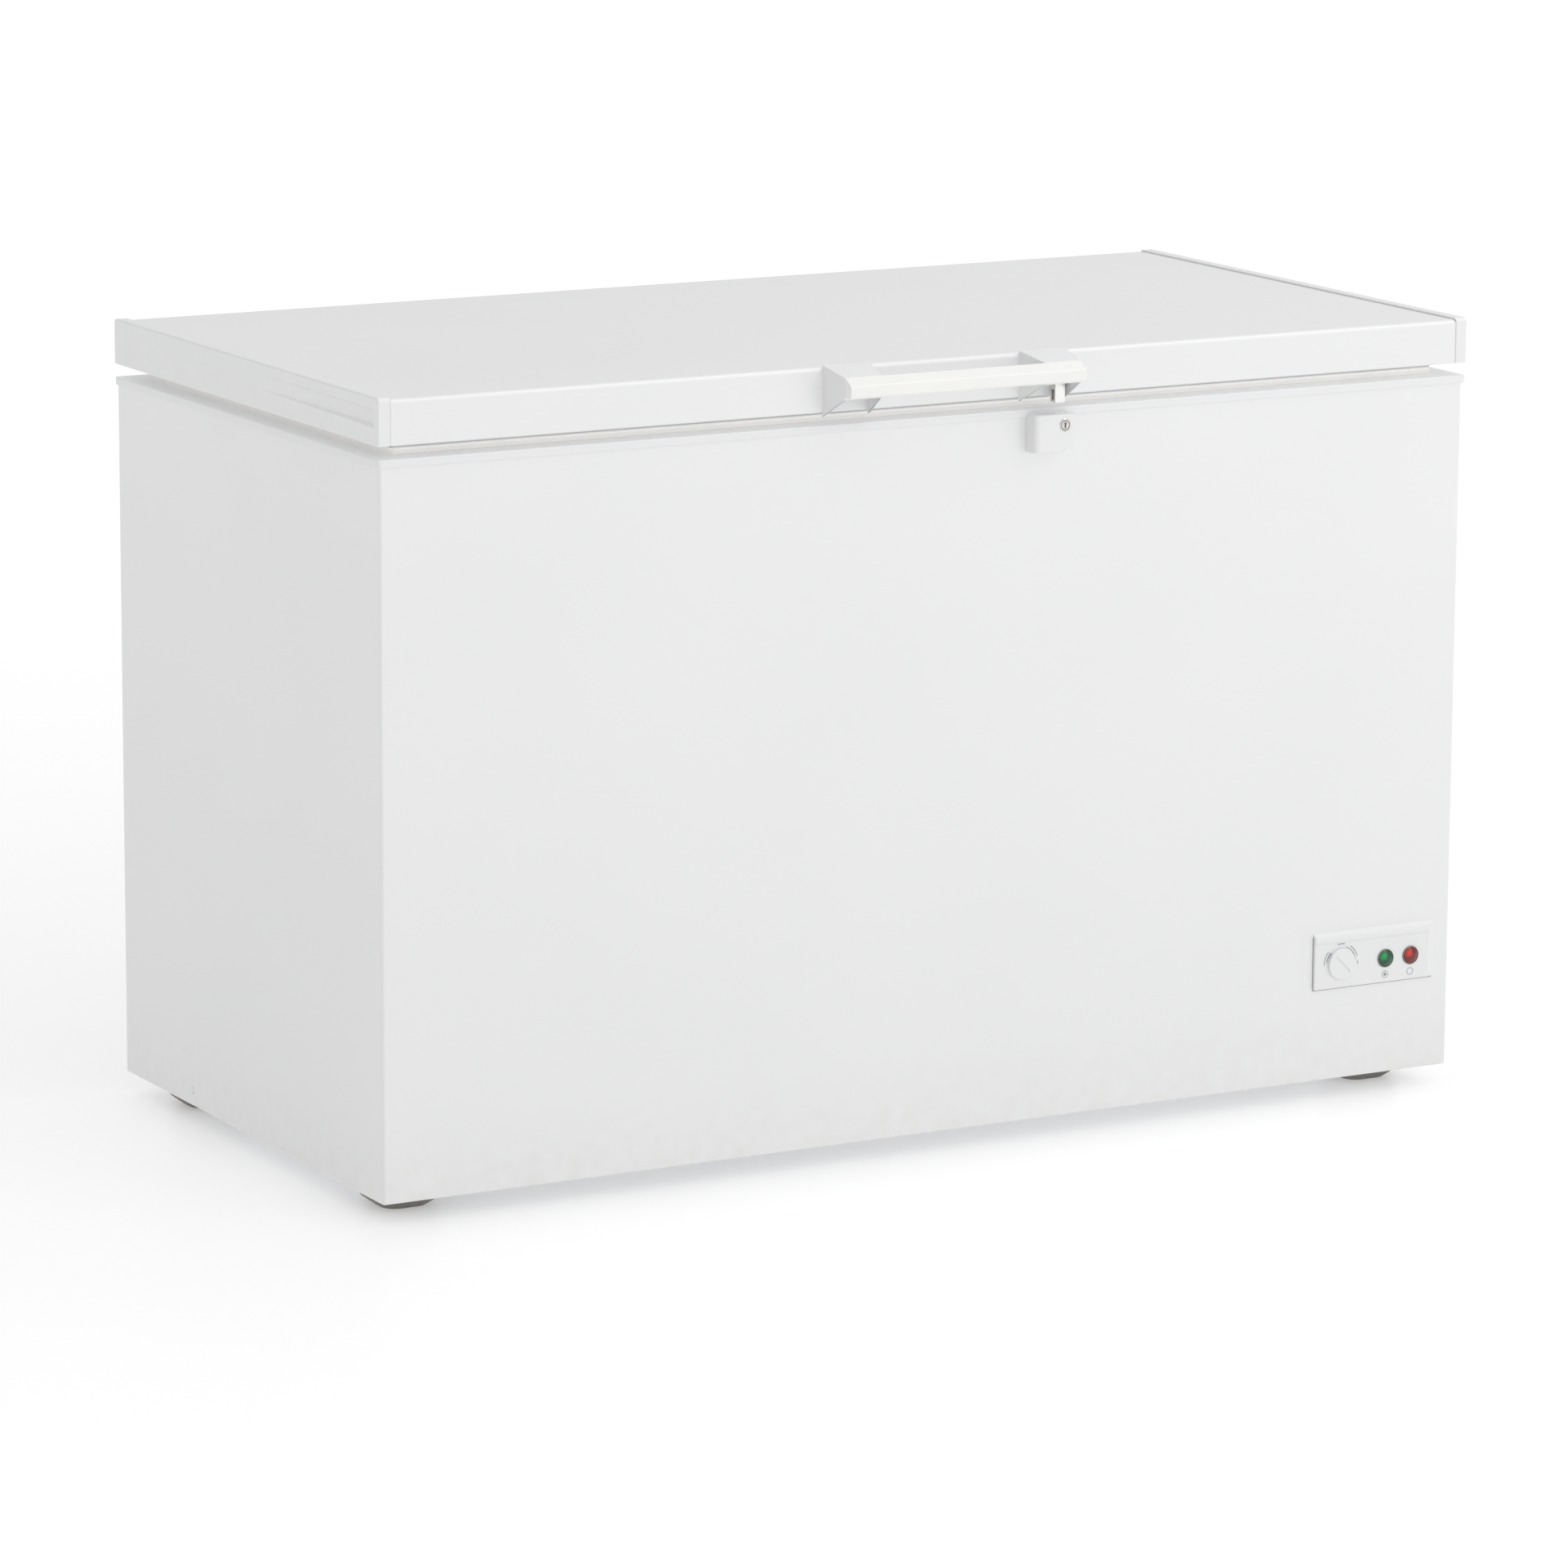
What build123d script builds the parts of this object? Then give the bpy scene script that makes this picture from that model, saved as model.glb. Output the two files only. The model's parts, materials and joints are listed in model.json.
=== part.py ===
from build123d import *
import math
import os

# Chest freezer: an insulated tub on four feet with a lid hinged at the back.
# Millimetres, +Z up, +X to the right as seen by the person who opens the lid, +Y to the back.
# The origin lies on the floor, in the middle of the whole width and the whole depth.

# ---------------------------------------------------------------- driving dimensions
overall_width = 1300.0
overall_height = 850.0
lid_depth = 645.0
handle_reach = 51.0
hinge_reach = 30.0
foot_height = 24.0
lid_height = 49.0
gasket_gap = 13.5
rim_height = 8.5
rim_overhang = 3.0
wall = 62.5
liner_floor = 90.0
step_wall_x = 340.0
step_floor = 322.0
bay_wall_x = 400.0
bay_roof = 262.0
sheet = 0.8
hinge_x = 410.0
lid_travel_deg = 80.0

# ---------------------------------------------------------------- worked out from them
half_width = overall_width / 2
overall_depth = handle_reach + lid_depth + hinge_reach
lid_front = -overall_depth / 2 + handle_reach
lid_back = lid_front + lid_depth
lid_bottom = overall_height - lid_height
rim_top = lid_bottom - gasket_gap
rim_bottom = rim_top - rim_height
cab_half = half_width - rim_overhang
cab_front = lid_front + rim_overhang
cab_back = lid_back - rim_overhang
cab_bottom = foot_height
inner_half = cab_half - sheet
inner_front = cab_front + sheet
inner_back = cab_back - sheet
pan_bottom = cab_bottom + sheet
pan_top = pan_bottom + 1.0
foam_top = rim_bottom - 3.5

# Lid: a folded sheet between two end caps, with a liner whose plug fills the mouth of the tub.
cap_width = 14.0
cap_x = half_width - cap_width
sheet_front = lid_front + 0.5
sheet_back = lid_back - 0.5
sheet_top = overall_height - 2.0
liner_top = lid_bottom + sheet + 2.0
plug_inset = 75.0
plug_bottom = lid_bottom - 10.0

# Handle: two hollow wedges carry a bar whose top edge slopes down to its front face.
bar_top = 841.8
bar_low = 821.0
bar_half = 140.5

# Hinge: the pivot stands just behind the lid and a little above its lower edge.
pivot_y = lid_back + 14.0
pivot_z = lid_bottom + 5.0
plunger_rate = 6.0
cam_start = 14.0
cam_gap = 0.4
plunger_radius = 8.0
plunger_top = pivot_z - cam_start - cam_gap
plunger_bottom = plunger_top - 45.0
spring_bottom = plunger_bottom - 50.0
pin_radius = 3.0

# Lock: a barrel in a housing on the cabinet, with a hook that turns up over a bar on the lid.
lock_x = 135.5
lock_z = 771.0
barrel_radius = 7.0
hook_inner = 29.0
hook_outer = 33.0
hook_y = lid_front - 9.5
hook_thick = 3.0
keeper_bar_x = 130.0
keeper_bar_z = 796.6

# Control panel, low on the right of the front.
panel_left = 471.0
panel_right = 629.0
panel_low = 126.0
panel_high = 188.0
panel_face = cab_front - 4.0
knob_x = 504.6
lamp_green_x = 562.2
lamp_red_x = 594.7
dial_z = 152.6
shaft_radius = 3.0
running_gap = 0.05
clear_gap = 0.3

# Machinery bay.
compressor_x = 520.0
compressor_y = lid_front + 420.0
compressor_radius = 78.0
plate_z = 40.0
tray_top = pan_bottom + 2.0
tube_radius = 4.0
thin_tube_radius = 2.5
capillary_radius = 1.0
tube_bend = 12.0
tub_corner = 24.0
coil_stand_off = sheet + 5.0
coil_room = 11.0
coil_inset = wall - coil_stand_off
coil_first = 130.0
coil_second = 230.0
coil_turn_left = 250.0
coil_turn_right = 300.0
coil_top = 740.0
coil_tail_y = lid_back - coil_inset + 25.0
coil_tail_z = 190.0
skin_gap = 4.0
skin_room = 7.0
condenser_y = inner_front + skin_gap
condenser_low = 80.0
condenser_high = 230.0
pipe_hole_gap = 0.5
drier_x = 430.0
drier_y = lid_front + 32.8

# Feet.
foot_x = 588.0
foot_y_front = lid_front + 86.0
foot_y_back = lid_back - 86.0

# Basket that hangs on the ledge of the rim.
basket_left = 345.0
basket_right = 575.0
basket_height = 200.0
ledge_inner = 65.0
ledge_outer = 50.0
ledge_z = rim_bottom - 1.0

# Drain in the floor of the tub.
drain_x = -520.0
drain_y = (cab_front + cab_back) / 2
drain_radius = 10.0


# ---------------------------------------------------------------- helpers
def block(x, y, z):
    """A box between a low and a high value on each axis."""
    corner = (Align.MIN, Align.MIN, Align.MIN)
    return Pos(x[0], y[0], z[0]) * Box(x[1] - x[0], y[1] - y[0], z[1] - z[0], align=corner)


def rod(start, radius, length, axis="z"):
    """A cylinder that starts at a point and runs along +X, +Y or +Z."""
    turns = {"x": Rot(0, 90, 0), "y": Rot(-90, 0, 0), "z": Rot(0, 0, 0)}
    bar = Cylinder(radius, length, align=(Align.CENTER, Align.CENTER, Align.MIN))
    return Pos(*start) * turns[axis] * bar


def tube(points, radius, bend):
    """A round tube along straight runs joined by tangent arcs: one bend radius, or one for each corner."""
    path = FilletPolyline(*points, radius=bend)
    start = Plane(origin=path @ 0, z_dir=path % 0)
    return sweep(start * Circle(radius), path)


def side_plate(points, x_low, x_high):
    """A plate parallel to the YZ plane, from an outline of (y, z) points."""
    outline = Plane.YZ * Polygon(*points, align=None)
    return Pos(x_low, 0, 0) * extrude(outline, x_high - x_low, dir=(1, 0, 0))


def frame_ring(outer_inset, inner_inset, z_low, z_high):
    """A rectangular ring that follows the lid's outline, between two insets from its edge."""
    ring = block((outer_inset - half_width, half_width - outer_inset),
                 (lid_front + outer_inset, lid_back - outer_inset), (z_low, z_high))
    hole = block((inner_inset - half_width, half_width - inner_inset),
                 (lid_front + inner_inset, lid_back - inner_inset), (z_low - 1, z_high + 1))
    return ring - hole


def upright_edges(solid):
    return solid.edges().filter_by(Axis.Z)


def group(solids):
    """Separate solids of one kind that share a node."""
    return Compound(children=list(solids))


def save(name, shape):
    export_step(shape, "parts/" + name + ".step")


# ---------------------------------------------------------------- fasteners and small round pieces
def screw(start, head_radius, head_length, shank_radius, shank_length, axis_sign=1):
    """A pan head screw that runs along Y: the head first, then the shank."""
    x, y, z = start
    if axis_sign > 0:
        head = rod((x, y, z), head_radius, head_length, "y")
        shank = rod((x, y + head_length, z), shank_radius, shank_length, "y")
    else:
        head = rod((x, y - head_length, z), head_radius, head_length, "y")
        shank = rod((x, y - head_length - shank_length, z), shank_radius, shank_length, "y")
    return head + shank


def foot_positions():
    return [(x, y) for x in (-foot_x, foot_x) for y in (foot_y_front, foot_y_back)]


def foot_screws():
    """One screw up through the middle of each foot into the bottom of the cabinet."""
    head_z = 7.0
    screws = []
    for x, y in foot_positions():
        head = rod((x, y, head_z), 6.0, 4.0)
        shank = rod((x, y, head_z + 4.0), 3.0, 26.0)
        screws.append(head + shank)
    return screws


def hinge_base_screws():
    """Four screws hold each hinge base on the back of the cabinet."""
    screws = []
    for side in (-1, 1):
        for off in (-30.5, 30.5):
            for drop in (45.0, 98.0):
                start = (side * hinge_x + off, cab_back + 4.5, pivot_z - drop)
                screws.append(screw(start, 4.0, 2.5, 2.2, 14.0, -1))
    return screws


def hinge_leaf_screws():
    """Four screws hold each hinge leaf on the back of the lid."""
    screws = []
    for side in (-1, 1):
        for off in (-10.0, 10.0):
            for rise in (20.0, 34.0):
                start = (side * hinge_x + off, lid_back + 3.5, pivot_z + rise)
                screws.append(screw(start, 3.5, 2.0, 2.0, 14.0, -1))
    return screws


def handle_screws():
    """Two screws hold each handle bracket on the front of the lid."""
    screws = []
    for x in (-136.0, -101.0, 101.0, 136.0):
        screws.append(screw((x, lid_front - 5.0, 838.0), 3.8, 2.5, 2.0, 16.0))
    return screws


def keeper_screws():
    screws = []
    for x in (115.5, 139.0):
        screws.append(screw((x, lid_front - 4.0, 818.0), 2.6, 2.0, 1.6, 14.0))
    return screws


def rear_cover_screws():
    screws = []
    for x in (410.0, 637.0):
        for z in (36.0, 252.0):
            screws.append(screw((x, cab_back + 3.5, z), 3.5, 2.0, 1.8, 10.0, -1))
    return screws


def side_plug():
    """A blanking plug low on the left side, in the hole that the insulation was filled through."""
    z = 39.6
    y = lid_front + 472.0
    head = rod((-cab_half - 1.0, y, z), 4.5, 1.0, "x")
    stem = rod((-cab_half, y, z), 3.0, 7.0, "x")
    return head + stem


# ---------------------------------------------------------------- refrigeration circuit
def evaporator_coil():
    """Tube wound in rising loops round the outside of the tub's liner, in the space before the foam."""
    left = -half_width + coil_inset
    right = half_width - coil_inset
    step_right = step_wall_x + coil_stand_off
    front = lid_front + coil_inset
    back = lid_back - coil_inset
    wide = tub_corner + coil_stand_off
    first = coil_first
    second = coil_second
    stops = [(bay_wall_x + 10.0, back, first, 0.0), (left, back, first, wide), (left, front, first, wide),
             (step_right, front, first, wide), (step_right, back - 45.0, first, tube_bend),
             (step_right, back - 45.0, second, tube_bend), (step_right, front, second, wide),
             (left, front, second, wide), (left, back, second, wide), (coil_turn_right, back, second, tube_bend)]
    loop = [(coil_turn_right, back, tube_bend), (right, back, wide), (right, front, wide),
            (left, front, wide), (left, back, wide), (coil_turn_left, back, tube_bend)]
    for index, level in enumerate((350.0, 450.0, 550.0, 650.0, coil_top)):
        corners = loop if index % 2 == 0 else loop[::-1]
        stops += [(x, y, level, bend) for x, y, bend in corners]
    stops += [(coil_turn_left, coil_tail_y, coil_top, tube_bend),
              (coil_turn_left, coil_tail_y, coil_tail_z, tube_bend),
              (bay_wall_x + 10.0, coil_tail_y, coil_tail_z, 0.0)]
    bends = [stop[3] for stop in stops[1:-1]]
    return tube([stop[:3] for stop in stops], tube_radius, bends)


def condenser_coil():
    """Thin tube that snakes over the inside of the front and left skins, then runs to the drier."""
    left = skin_gap - inner_half
    turn_back = lid_front + 560.0
    turn_right = 360.0
    tail_x = 385.0
    points = [(bay_wall_x + 10.0, condenser_y, condenser_low)]
    for index in range(6):
        level = condenser_low + 110.0 * index
        ends = [(turn_right, condenser_y), (left, condenser_y), (left, turn_back)]
        if index == 0:
            ends = ends[1:]
        elif index % 2 == 1:
            ends = ends[::-1]
        points += [(x, y, level) for x, y in ends]
    top_level = points.pop()[2]
    points += [(tail_x, condenser_y, top_level), (tail_x, condenser_y, condenser_high),
               (drier_x, condenser_y, condenser_high), (drier_x, drier_y, condenser_high),
               (drier_x, drier_y, 205.0)]
    return tube(points, thin_tube_radius, tube_bend)


def filter_drier():
    """A copper can with necked ends, full of drying grains."""
    can = rod((drier_x, drier_y, 120.0), 9.0, 75.0)
    can = fillet(can.edges(), 4.0)
    neck_up = rod((drier_x, drier_y, 190.0), 4.0, 15.0)
    neck_down = rod((drier_x, drier_y, 108.0), 3.0, 16.0)
    return can + neck_up + neck_down


def capillary_tube():
    back = lid_back - coil_inset
    points = [(drier_x, drier_y, 108.0), (drier_x, drier_y, 60.0), (drier_x, back, 60.0),
              (drier_x, back, coil_first), (bay_wall_x + 10.0, back, coil_first)]
    return tube(points, capillary_radius, 10.0)


def discharge_pipe():
    start_y = compressor_y - compressor_radius
    points = [(500.0, start_y, 110.0), (500.0, start_y - 60.0, 110.0), (500.0, start_y - 60.0, condenser_low),
              (500.0, condenser_y, condenser_low), (bay_wall_x + 10.0, condenser_y, condenser_low)]
    return tube(points, thin_tube_radius, tube_bend)


def suction_pipe():
    start_y = compressor_y + compressor_radius
    points = [(540.0, start_y, 140.0), (540.0, coil_tail_y, 140.0), (540.0, coil_tail_y, coil_tail_z),
              (bay_wall_x + 10.0, coil_tail_y, coil_tail_z)]
    return tube(points, tube_radius, 20.0)


def mount_points():
    """The four corners of the compressor's foot plate."""
    return [(compressor_x + dx, compressor_y + dy) for dx in (-66.0, 66.0) for dy in (-62.0, 62.0)]


def compressor():
    """A welded steel shell on a foot plate, less the holes for its bolts and pipes."""
    low = plate_z + 3.0
    shell = rod((compressor_x, compressor_y, low), compressor_radius - 2.0, 172.0)
    shell = fillet(shell.edges(), 40.0)
    seam = rod((compressor_x, compressor_y, low + 84.0), compressor_radius, 6.0)
    plate = block((compressor_x - 80.0, compressor_x + 80.0), (compressor_y - 76.0, compressor_y + 76.0),
                  (plate_z, plate_z + 3.0))
    plate = fillet(upright_edges(plate), 14.0)
    foot = rod((compressor_x, compressor_y, plate_z), 50.0, 12.0)
    body = shell + seam + plate + foot
    for x, y in mount_points():
        body -= rod((x, y, plate_z - 1.0), 3.5, 6.0)
    body -= discharge_pipe()
    body -= suction_pipe()
    stubs = rod((500.0, compressor_y - compressor_radius, 110.0), 4.5, 22.0, "y")
    stubs += rod((540.0, compressor_y + compressor_radius - 30.0, 140.0), 6.0, 30.0, "y")
    return body + stubs


def compressor_grommets():
    grommets = []
    for x, y in mount_points():
        ring = rod((x, y, tray_top), 12.0, plate_z - tray_top)
        waist = rod((x, y, tray_top + 4.0), 14.0, 4.0) - rod((x, y, tray_top + 4.0), 9.5, 4.0)
        grommets.append(ring - waist - rod((x, y, tray_top), 3.5, 20.0))
    return grommets


def compressor_bolts():
    bolts = []
    for x, y in mount_points():
        shank = rod((x, y, tray_top), 3.5, plate_z + 3.0 - tray_top)
        head = Pos(x, y, plate_z + 3.0) * extrude(RegularPolygon(7.0, 6), 5.0)
        bolts.append(shank + head)
    return bolts


def starter_box():
    """The relay and overload cover clipped on the side of the compressor."""
    x_low = compressor_x + compressor_radius + 0.5
    box = block((x_low, x_low + 32.0), (compressor_y - 26.0, compressor_y + 26.0), (88.0, 148.0))
    return fillet(box.edges().filter_by(Axis.X), 6.0)


# ---------------------------------------------------------------- cabinet
def outer_wrap():
    """Front and both sides in one folded sheet, with a return flange along the bottom."""
    bend = 3.0
    outer = block((-cab_half, cab_half), (cab_front, cab_back), (cab_bottom, rim_bottom))
    outer = fillet(upright_edges(outer).sort_by(Axis.Y)[:2], bend)
    inner = block((-inner_half, inner_half), (inner_front, cab_back + 10.0), (cab_bottom - 1.0, rim_bottom + 1.0))
    inner = fillet(upright_edges(inner).sort_by(Axis.Y)[:2], bend - sheet)
    flange_width = 15.0
    flange = block((-cab_half + 1, cab_half - 1), (cab_front + 1, cab_back), (cab_bottom, pan_bottom))
    flange -= block((flange_width - cab_half, cab_half - flange_width),
                    (cab_front + flange_width, cab_back + 1.0), (cab_bottom - 1.0, pan_bottom + 1.0))
    wrap = outer - inner + (flange & outer)
    wrap -= block((panel_left + 4.0, panel_right - 15.0), (cab_front - 1.0, inner_front + 1.0),
                  (panel_low + 4.0, panel_high - 4.0))
    wrap -= block((inner_half - 1.0, cab_half + 1.0), grille_span_y(), grille_span_z())
    wrap -= side_plug()
    return wrap


def grille_span_y():
    return (lid_front + 330.0, lid_front + 560.0)


def grille_span_z():
    return (70.0, 220.0)


def side_grille():
    """Louvred vent on the right side of the machinery bay: a frame on the skin and sloping slats."""
    y_low, y_high = grille_span_y()
    z_low, z_high = grille_span_z()
    lap = 6.0
    frame = block((cab_half, cab_half + 2.0), (y_low - lap, y_high + lap), (z_low - lap, z_high + lap))
    frame = fillet(frame.edges().filter_by(Axis.X), 5.0)
    frame += block((inner_half - 6.0, cab_half), (y_low, y_high), (z_low, z_high))
    frame -= block((inner_half - 7.0, cab_half + 3.0), (y_low + 3.0, y_high - 3.0), (z_low + 3.0, z_high - 3.0))
    pitch = 12.0
    slats = int((z_high - z_low - 6.0) / pitch)
    for index in range(slats):
        z = z_low + 3.0 + pitch * (index + 0.5)
        blade = Pos(cab_half - 2.5, (y_low + y_high) / 2, z) * Rot(0, 35, 0) * Box(9.0, y_high - y_low - 6.0, 1.6)
        frame += blade
    post = block((inner_half - 5.0, inner_half - 2.0), ((y_low + y_high) / 2 - 1.5, (y_low + y_high) / 2 + 1.5),
                 (z_low, z_high))
    return frame + post


def back_panel():
    """Flat galvanised sheet over the back, with an opening behind the machinery bay."""
    panel = block((-inner_half, inner_half), (inner_back, cab_back), (pan_bottom, foam_top))
    panel -= block((415.0, 632.0), (inner_back - 1.0, cab_back + 1.0), (45.0, 244.0))
    for fastener in hinge_base_screws() + rear_cover_screws():
        panel -= fastener
    return panel


def rear_cover():
    """Louvred cover over the machinery bay's rear opening."""
    cover = block((405.0, 642.0), (cab_back, cab_back + 1.5), (30.0, 258.0))
    cover = fillet(cover.edges().filter_by(Axis.Y), 6.0)
    for column in (470.0, 578.0):
        for row in range(9):
            z = 80.0 + 18.0 * row
            slot = block((column - 44.0, column + 44.0), (cab_back - 1.0, cab_back + 3.0), (z - 3.0, z + 3.0))
            cover -= fillet(slot.edges().filter_by(Axis.Y), 2.9)
    for fastener in rear_cover_screws():
        cover -= fastener
    return cover - rod((440.0, cab_back - 1.0, 55.0), 7.0, 4.0, "y")


def cable_gland():
    """Bush where the mains lead enters, with a collar on each side of the cover."""
    y = cab_back
    bush = rod((440.0, y - 5.0, 55.0), 7.0, 12.0, "y")
    collar_out = rod((440.0, y + 1.5, 55.0), 10.0, 3.0, "y")
    collar_in = rod((440.0, y - 3.0, 55.0), 9.0, 3.0, "y")
    return bush + collar_out + collar_in - rod((440.0, y - 6.0, 55.0), 4.0, 14.0, "y")


def base_pan():
    """Bottom sheet under the insulated part of the cabinet."""
    pan = block((-inner_half, bay_wall_x - sheet), (inner_front, inner_back), (pan_bottom, pan_top))
    pan = pan & skin_space(pan_bottom, pan_top)
    for fastener in foot_screws():
        pan -= fastener
    return pan - rod((drain_x, drain_y, pan_bottom - 1.0), drain_radius, 5.0)


def step_plate():
    """Bent sheet that divides the machinery bay from the insulation: a wall and a roof."""
    plate = block((bay_wall_x - sheet, bay_wall_x), (inner_front, inner_back), (pan_bottom, bay_roof + sheet))
    plate += block((bay_wall_x, inner_half), (inner_front, inner_back), (bay_roof, bay_roof + sheet))
    plate = plate & skin_space(pan_bottom, foam_top)
    holes = [(lid_back - coil_inset, coil_first, tube_radius), (coil_tail_y, coil_tail_z, tube_radius),
             (condenser_y, condenser_low, thin_tube_radius), (condenser_y, condenser_high, thin_tube_radius)]
    for y, z, radius in holes:
        plate -= rod((bay_wall_x - 2.0, y, z), radius + pipe_hole_gap, 4.0, "x")
    return plate


def compressor_tray():
    """Steel floor of the machinery bay, with side flanges and cooling slots."""
    tray = block((bay_wall_x, inner_half), (inner_front, inner_back), (pan_bottom, tray_top))
    tray += block((bay_wall_x, bay_wall_x + 2.0), (inner_front, inner_back), (pan_bottom, tray_top + 14.0))
    tray = tray & skin_space(pan_bottom, foam_top)
    for row in range(5):
        y = lid_front + 130.0 + 24.0 * row
        slot = block((450.0, 560.0), (y - 5.0, y + 5.0), (pan_bottom - 1.0, tray_top + 1.0))
        tray -= fillet(upright_edges(slot), 4.9)
    for fastener in foot_screws():
        tray -= fastener
    return tray


def skin_space(z_low, z_high):
    """The space inside the wrap and the back panel, with the wrap's rounded front corners."""
    core = block((-inner_half, inner_half), (inner_front, inner_back), (z_low, z_high))
    return fillet(upright_edges(core).sort_by(Axis.Y)[:2], 3.0 - sheet)


def tub(side_gap, floor_gap, top):
    """The storage space with its raised floor, grown outwards and downwards, with rounded corners."""
    x_high = half_width - wall + side_gap
    step_x = step_wall_x + side_gap
    y_span = (lid_front + wall - side_gap, lid_back - wall + side_gap)
    hull = block((-x_high, step_x), y_span, (liner_floor - floor_gap, top))
    hull += block((0.0, x_high), y_span, (step_floor - floor_gap, top))
    corners = [edge for edge in upright_edges(hull)
               if abs(abs(edge.center().X) - x_high) < 0.1 or abs(edge.center().X - step_x) < 0.1]
    return fillet(corners, tub_corner + side_gap)


def cabinet_foam():
    """Rigid foam that fills the walls, less the machinery bay, the tub and the room for the coils."""
    foam = block((skin_room - inner_half, inner_half), (inner_front + skin_room, inner_back), (pan_top, foam_top))
    foam = fillet(upright_edges(foam).sort_by(Axis.X)[:2].sort_by(Axis.Y)[0], tube_bend - skin_room + skin_gap)
    foam -= block((bay_wall_x - sheet, half_width), (lid_front - 1.0, lid_back), (0.0, bay_roof + sheet))
    foam -= tub(coil_room, sheet, foam_top + 1.0)
    foam -= block((ledge_outer - half_width, half_width - ledge_outer),
                  (lid_front + ledge_outer, lid_back - ledge_outer), (foam_top - 2.0, foam_top + 1.0))
    groove = tube_radius + 1.5
    sweep_room = groove + tube_bend
    foam -= block((coil_turn_left - sweep_room, coil_turn_left + sweep_room),
                  (lid_back - wall, coil_tail_y + groove), (coil_tail_z - groove, coil_top + groove))
    foam -= block((coil_turn_left, bay_wall_x), (coil_tail_y - groove, coil_tail_y + groove),
                  (coil_tail_z - groove, coil_tail_z + groove))
    passage_start = step_wall_x - tub_corner
    foam -= rod((passage_start, lid_back - coil_inset, coil_first), tube_radius + pipe_hole_gap,
                bay_wall_x - passage_start, "x")
    for fastener in foot_screws() + hinge_base_screws():
        foam -= fastener
    return foam - rod((drain_x, drain_y, pan_top - 1.0), drain_radius, liner_floor)


def inner_liner():
    """Thin embossed metal tub with a raised floor over the machinery bay."""
    liner = tub(sheet, sheet, foam_top - 2.0) - tub(0.0, 0.0, foam_top)
    return liner - rod((drain_x, drain_y, liner_floor - 5.0), drain_radius, 10.0)


def top_frame():
    """Plastic rim on top of the walls: a flat seat for the gasket and a lower ledge for the basket."""
    frame = frame_ring(0.0, ledge_outer, rim_bottom, rim_top)
    frame += frame_ring(rim_overhang + sheet, ledge_outer, foam_top, rim_bottom)
    frame += frame_ring(ledge_outer, ledge_inner, foam_top - 2.0, ledge_z)
    skirt = block((ledge_inner - half_width - 2.4, half_width - ledge_inner + 2.4),
                  (lid_front + ledge_inner - 2.4, lid_back - ledge_inner + 2.4), (758.0, foam_top - 2.0))
    skirt = skirt & tub(0.0, 0.0, rim_top)
    opening = block((ledge_inner - half_width, half_width - ledge_inner),
                    (lid_front + ledge_inner, lid_back - ledge_inner), (700.0, rim_top))
    opening = fillet(upright_edges(opening), 22.0)
    frame += skirt - opening
    outer_corners = [edge for edge in upright_edges(frame) if abs(abs(edge.center().X) - half_width) < 0.1]
    frame = fillet(outer_corners, 4.0)
    back_joint = block((-inner_half, inner_half), (inner_back, cab_back), (foam_top, rim_bottom))
    return frame + back_joint - wrap_corner_space()


def wrap_corner_space():
    """What the wrap's rounded corners take away from the rim's tongue."""
    core = block((-half_width, half_width), (lid_front, cab_back), (foam_top - 5.0, rim_bottom))
    return core - skin_space(foam_top - 6.0, rim_bottom) - block(
        (-inner_half, inner_half), (inner_back - 0.1, cab_back), (foam_top - 5.0, rim_bottom))


def drain_tube():
    pipe = rod((drain_x, drain_y, 14.0), drain_radius, liner_floor - 14.0)
    return pipe - rod((drain_x, drain_y, 10.0), drain_radius - 2.0, liner_floor)


def drain_cap():
    """Push-on cap that closes the drain under the cabinet."""
    cap = rod((drain_x, drain_y, 11.0), drain_radius + 2.5, 11.0)
    return cap - rod((drain_x, drain_y, 14.0), drain_radius, 20.0)


def drain_plug():
    """Stopper in the floor of the tub, with a finger tab on top."""
    stem = rod((drain_x, drain_y, liner_floor - 16.0), drain_radius - 2.0 - clear_gap, 16.0 + clear_gap)
    head = rod((drain_x, drain_y, liner_floor + clear_gap), 15.0, 3.0)
    tab = block((drain_x - 9.0, drain_x + 9.0), (drain_y - 1.5, drain_y + 1.5),
                (liner_floor + clear_gap, liner_floor + 12.0))
    return stem + head + tab


def foot(x, y):
    """Oblong pad that narrows towards the floor, with a recess for its screw."""
    narrow = Pos(x, y, 0) * RectangleRounded(50.0, 44.0, 16.0)
    wide = Pos(x, y, 10.0) * RectangleRounded(78.0, 70.0, 26.0)
    pad = loft([narrow, wide]) + extrude(wide, pan_bottom - 10.0)
    return pad - rod((x, y, -1.0), 8.0, 8.0) - rod((x, y, 0.0), 6.0, 11.0) - rod((x, y, 0.0), 3.0, 30.0)


# ---------------------------------------------------------------- controls
def panel_plate():
    """Wedge-topped plate: a flat face, a raised brow along the top and a slope at the right."""
    back = cab_front
    slope = 11.0
    outline = Plane.XY * Polygon((panel_left, back), (panel_left, panel_face),
                                 (panel_right - slope, panel_face), (panel_right, back), align=None)
    plate = Pos(0, 0, panel_low) * extrude(outline, panel_high - panel_low, dir=(0, 0, 1))
    brow = side_plate([(panel_face, panel_high - 13.0), (panel_face - 1.6, panel_high - 10.0),
                       (panel_face - 1.6, panel_high - 6.0), (panel_face, panel_high)],
                      panel_left, panel_right - slope)
    plate += brow
    bevel = side_plate([(panel_face - 3.0, panel_high - 5.0), (back, panel_high),
                        (panel_face - 3.0, panel_high + 4.0)], panel_left - 1.0, panel_right + 1.0)
    return plate - bevel


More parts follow.
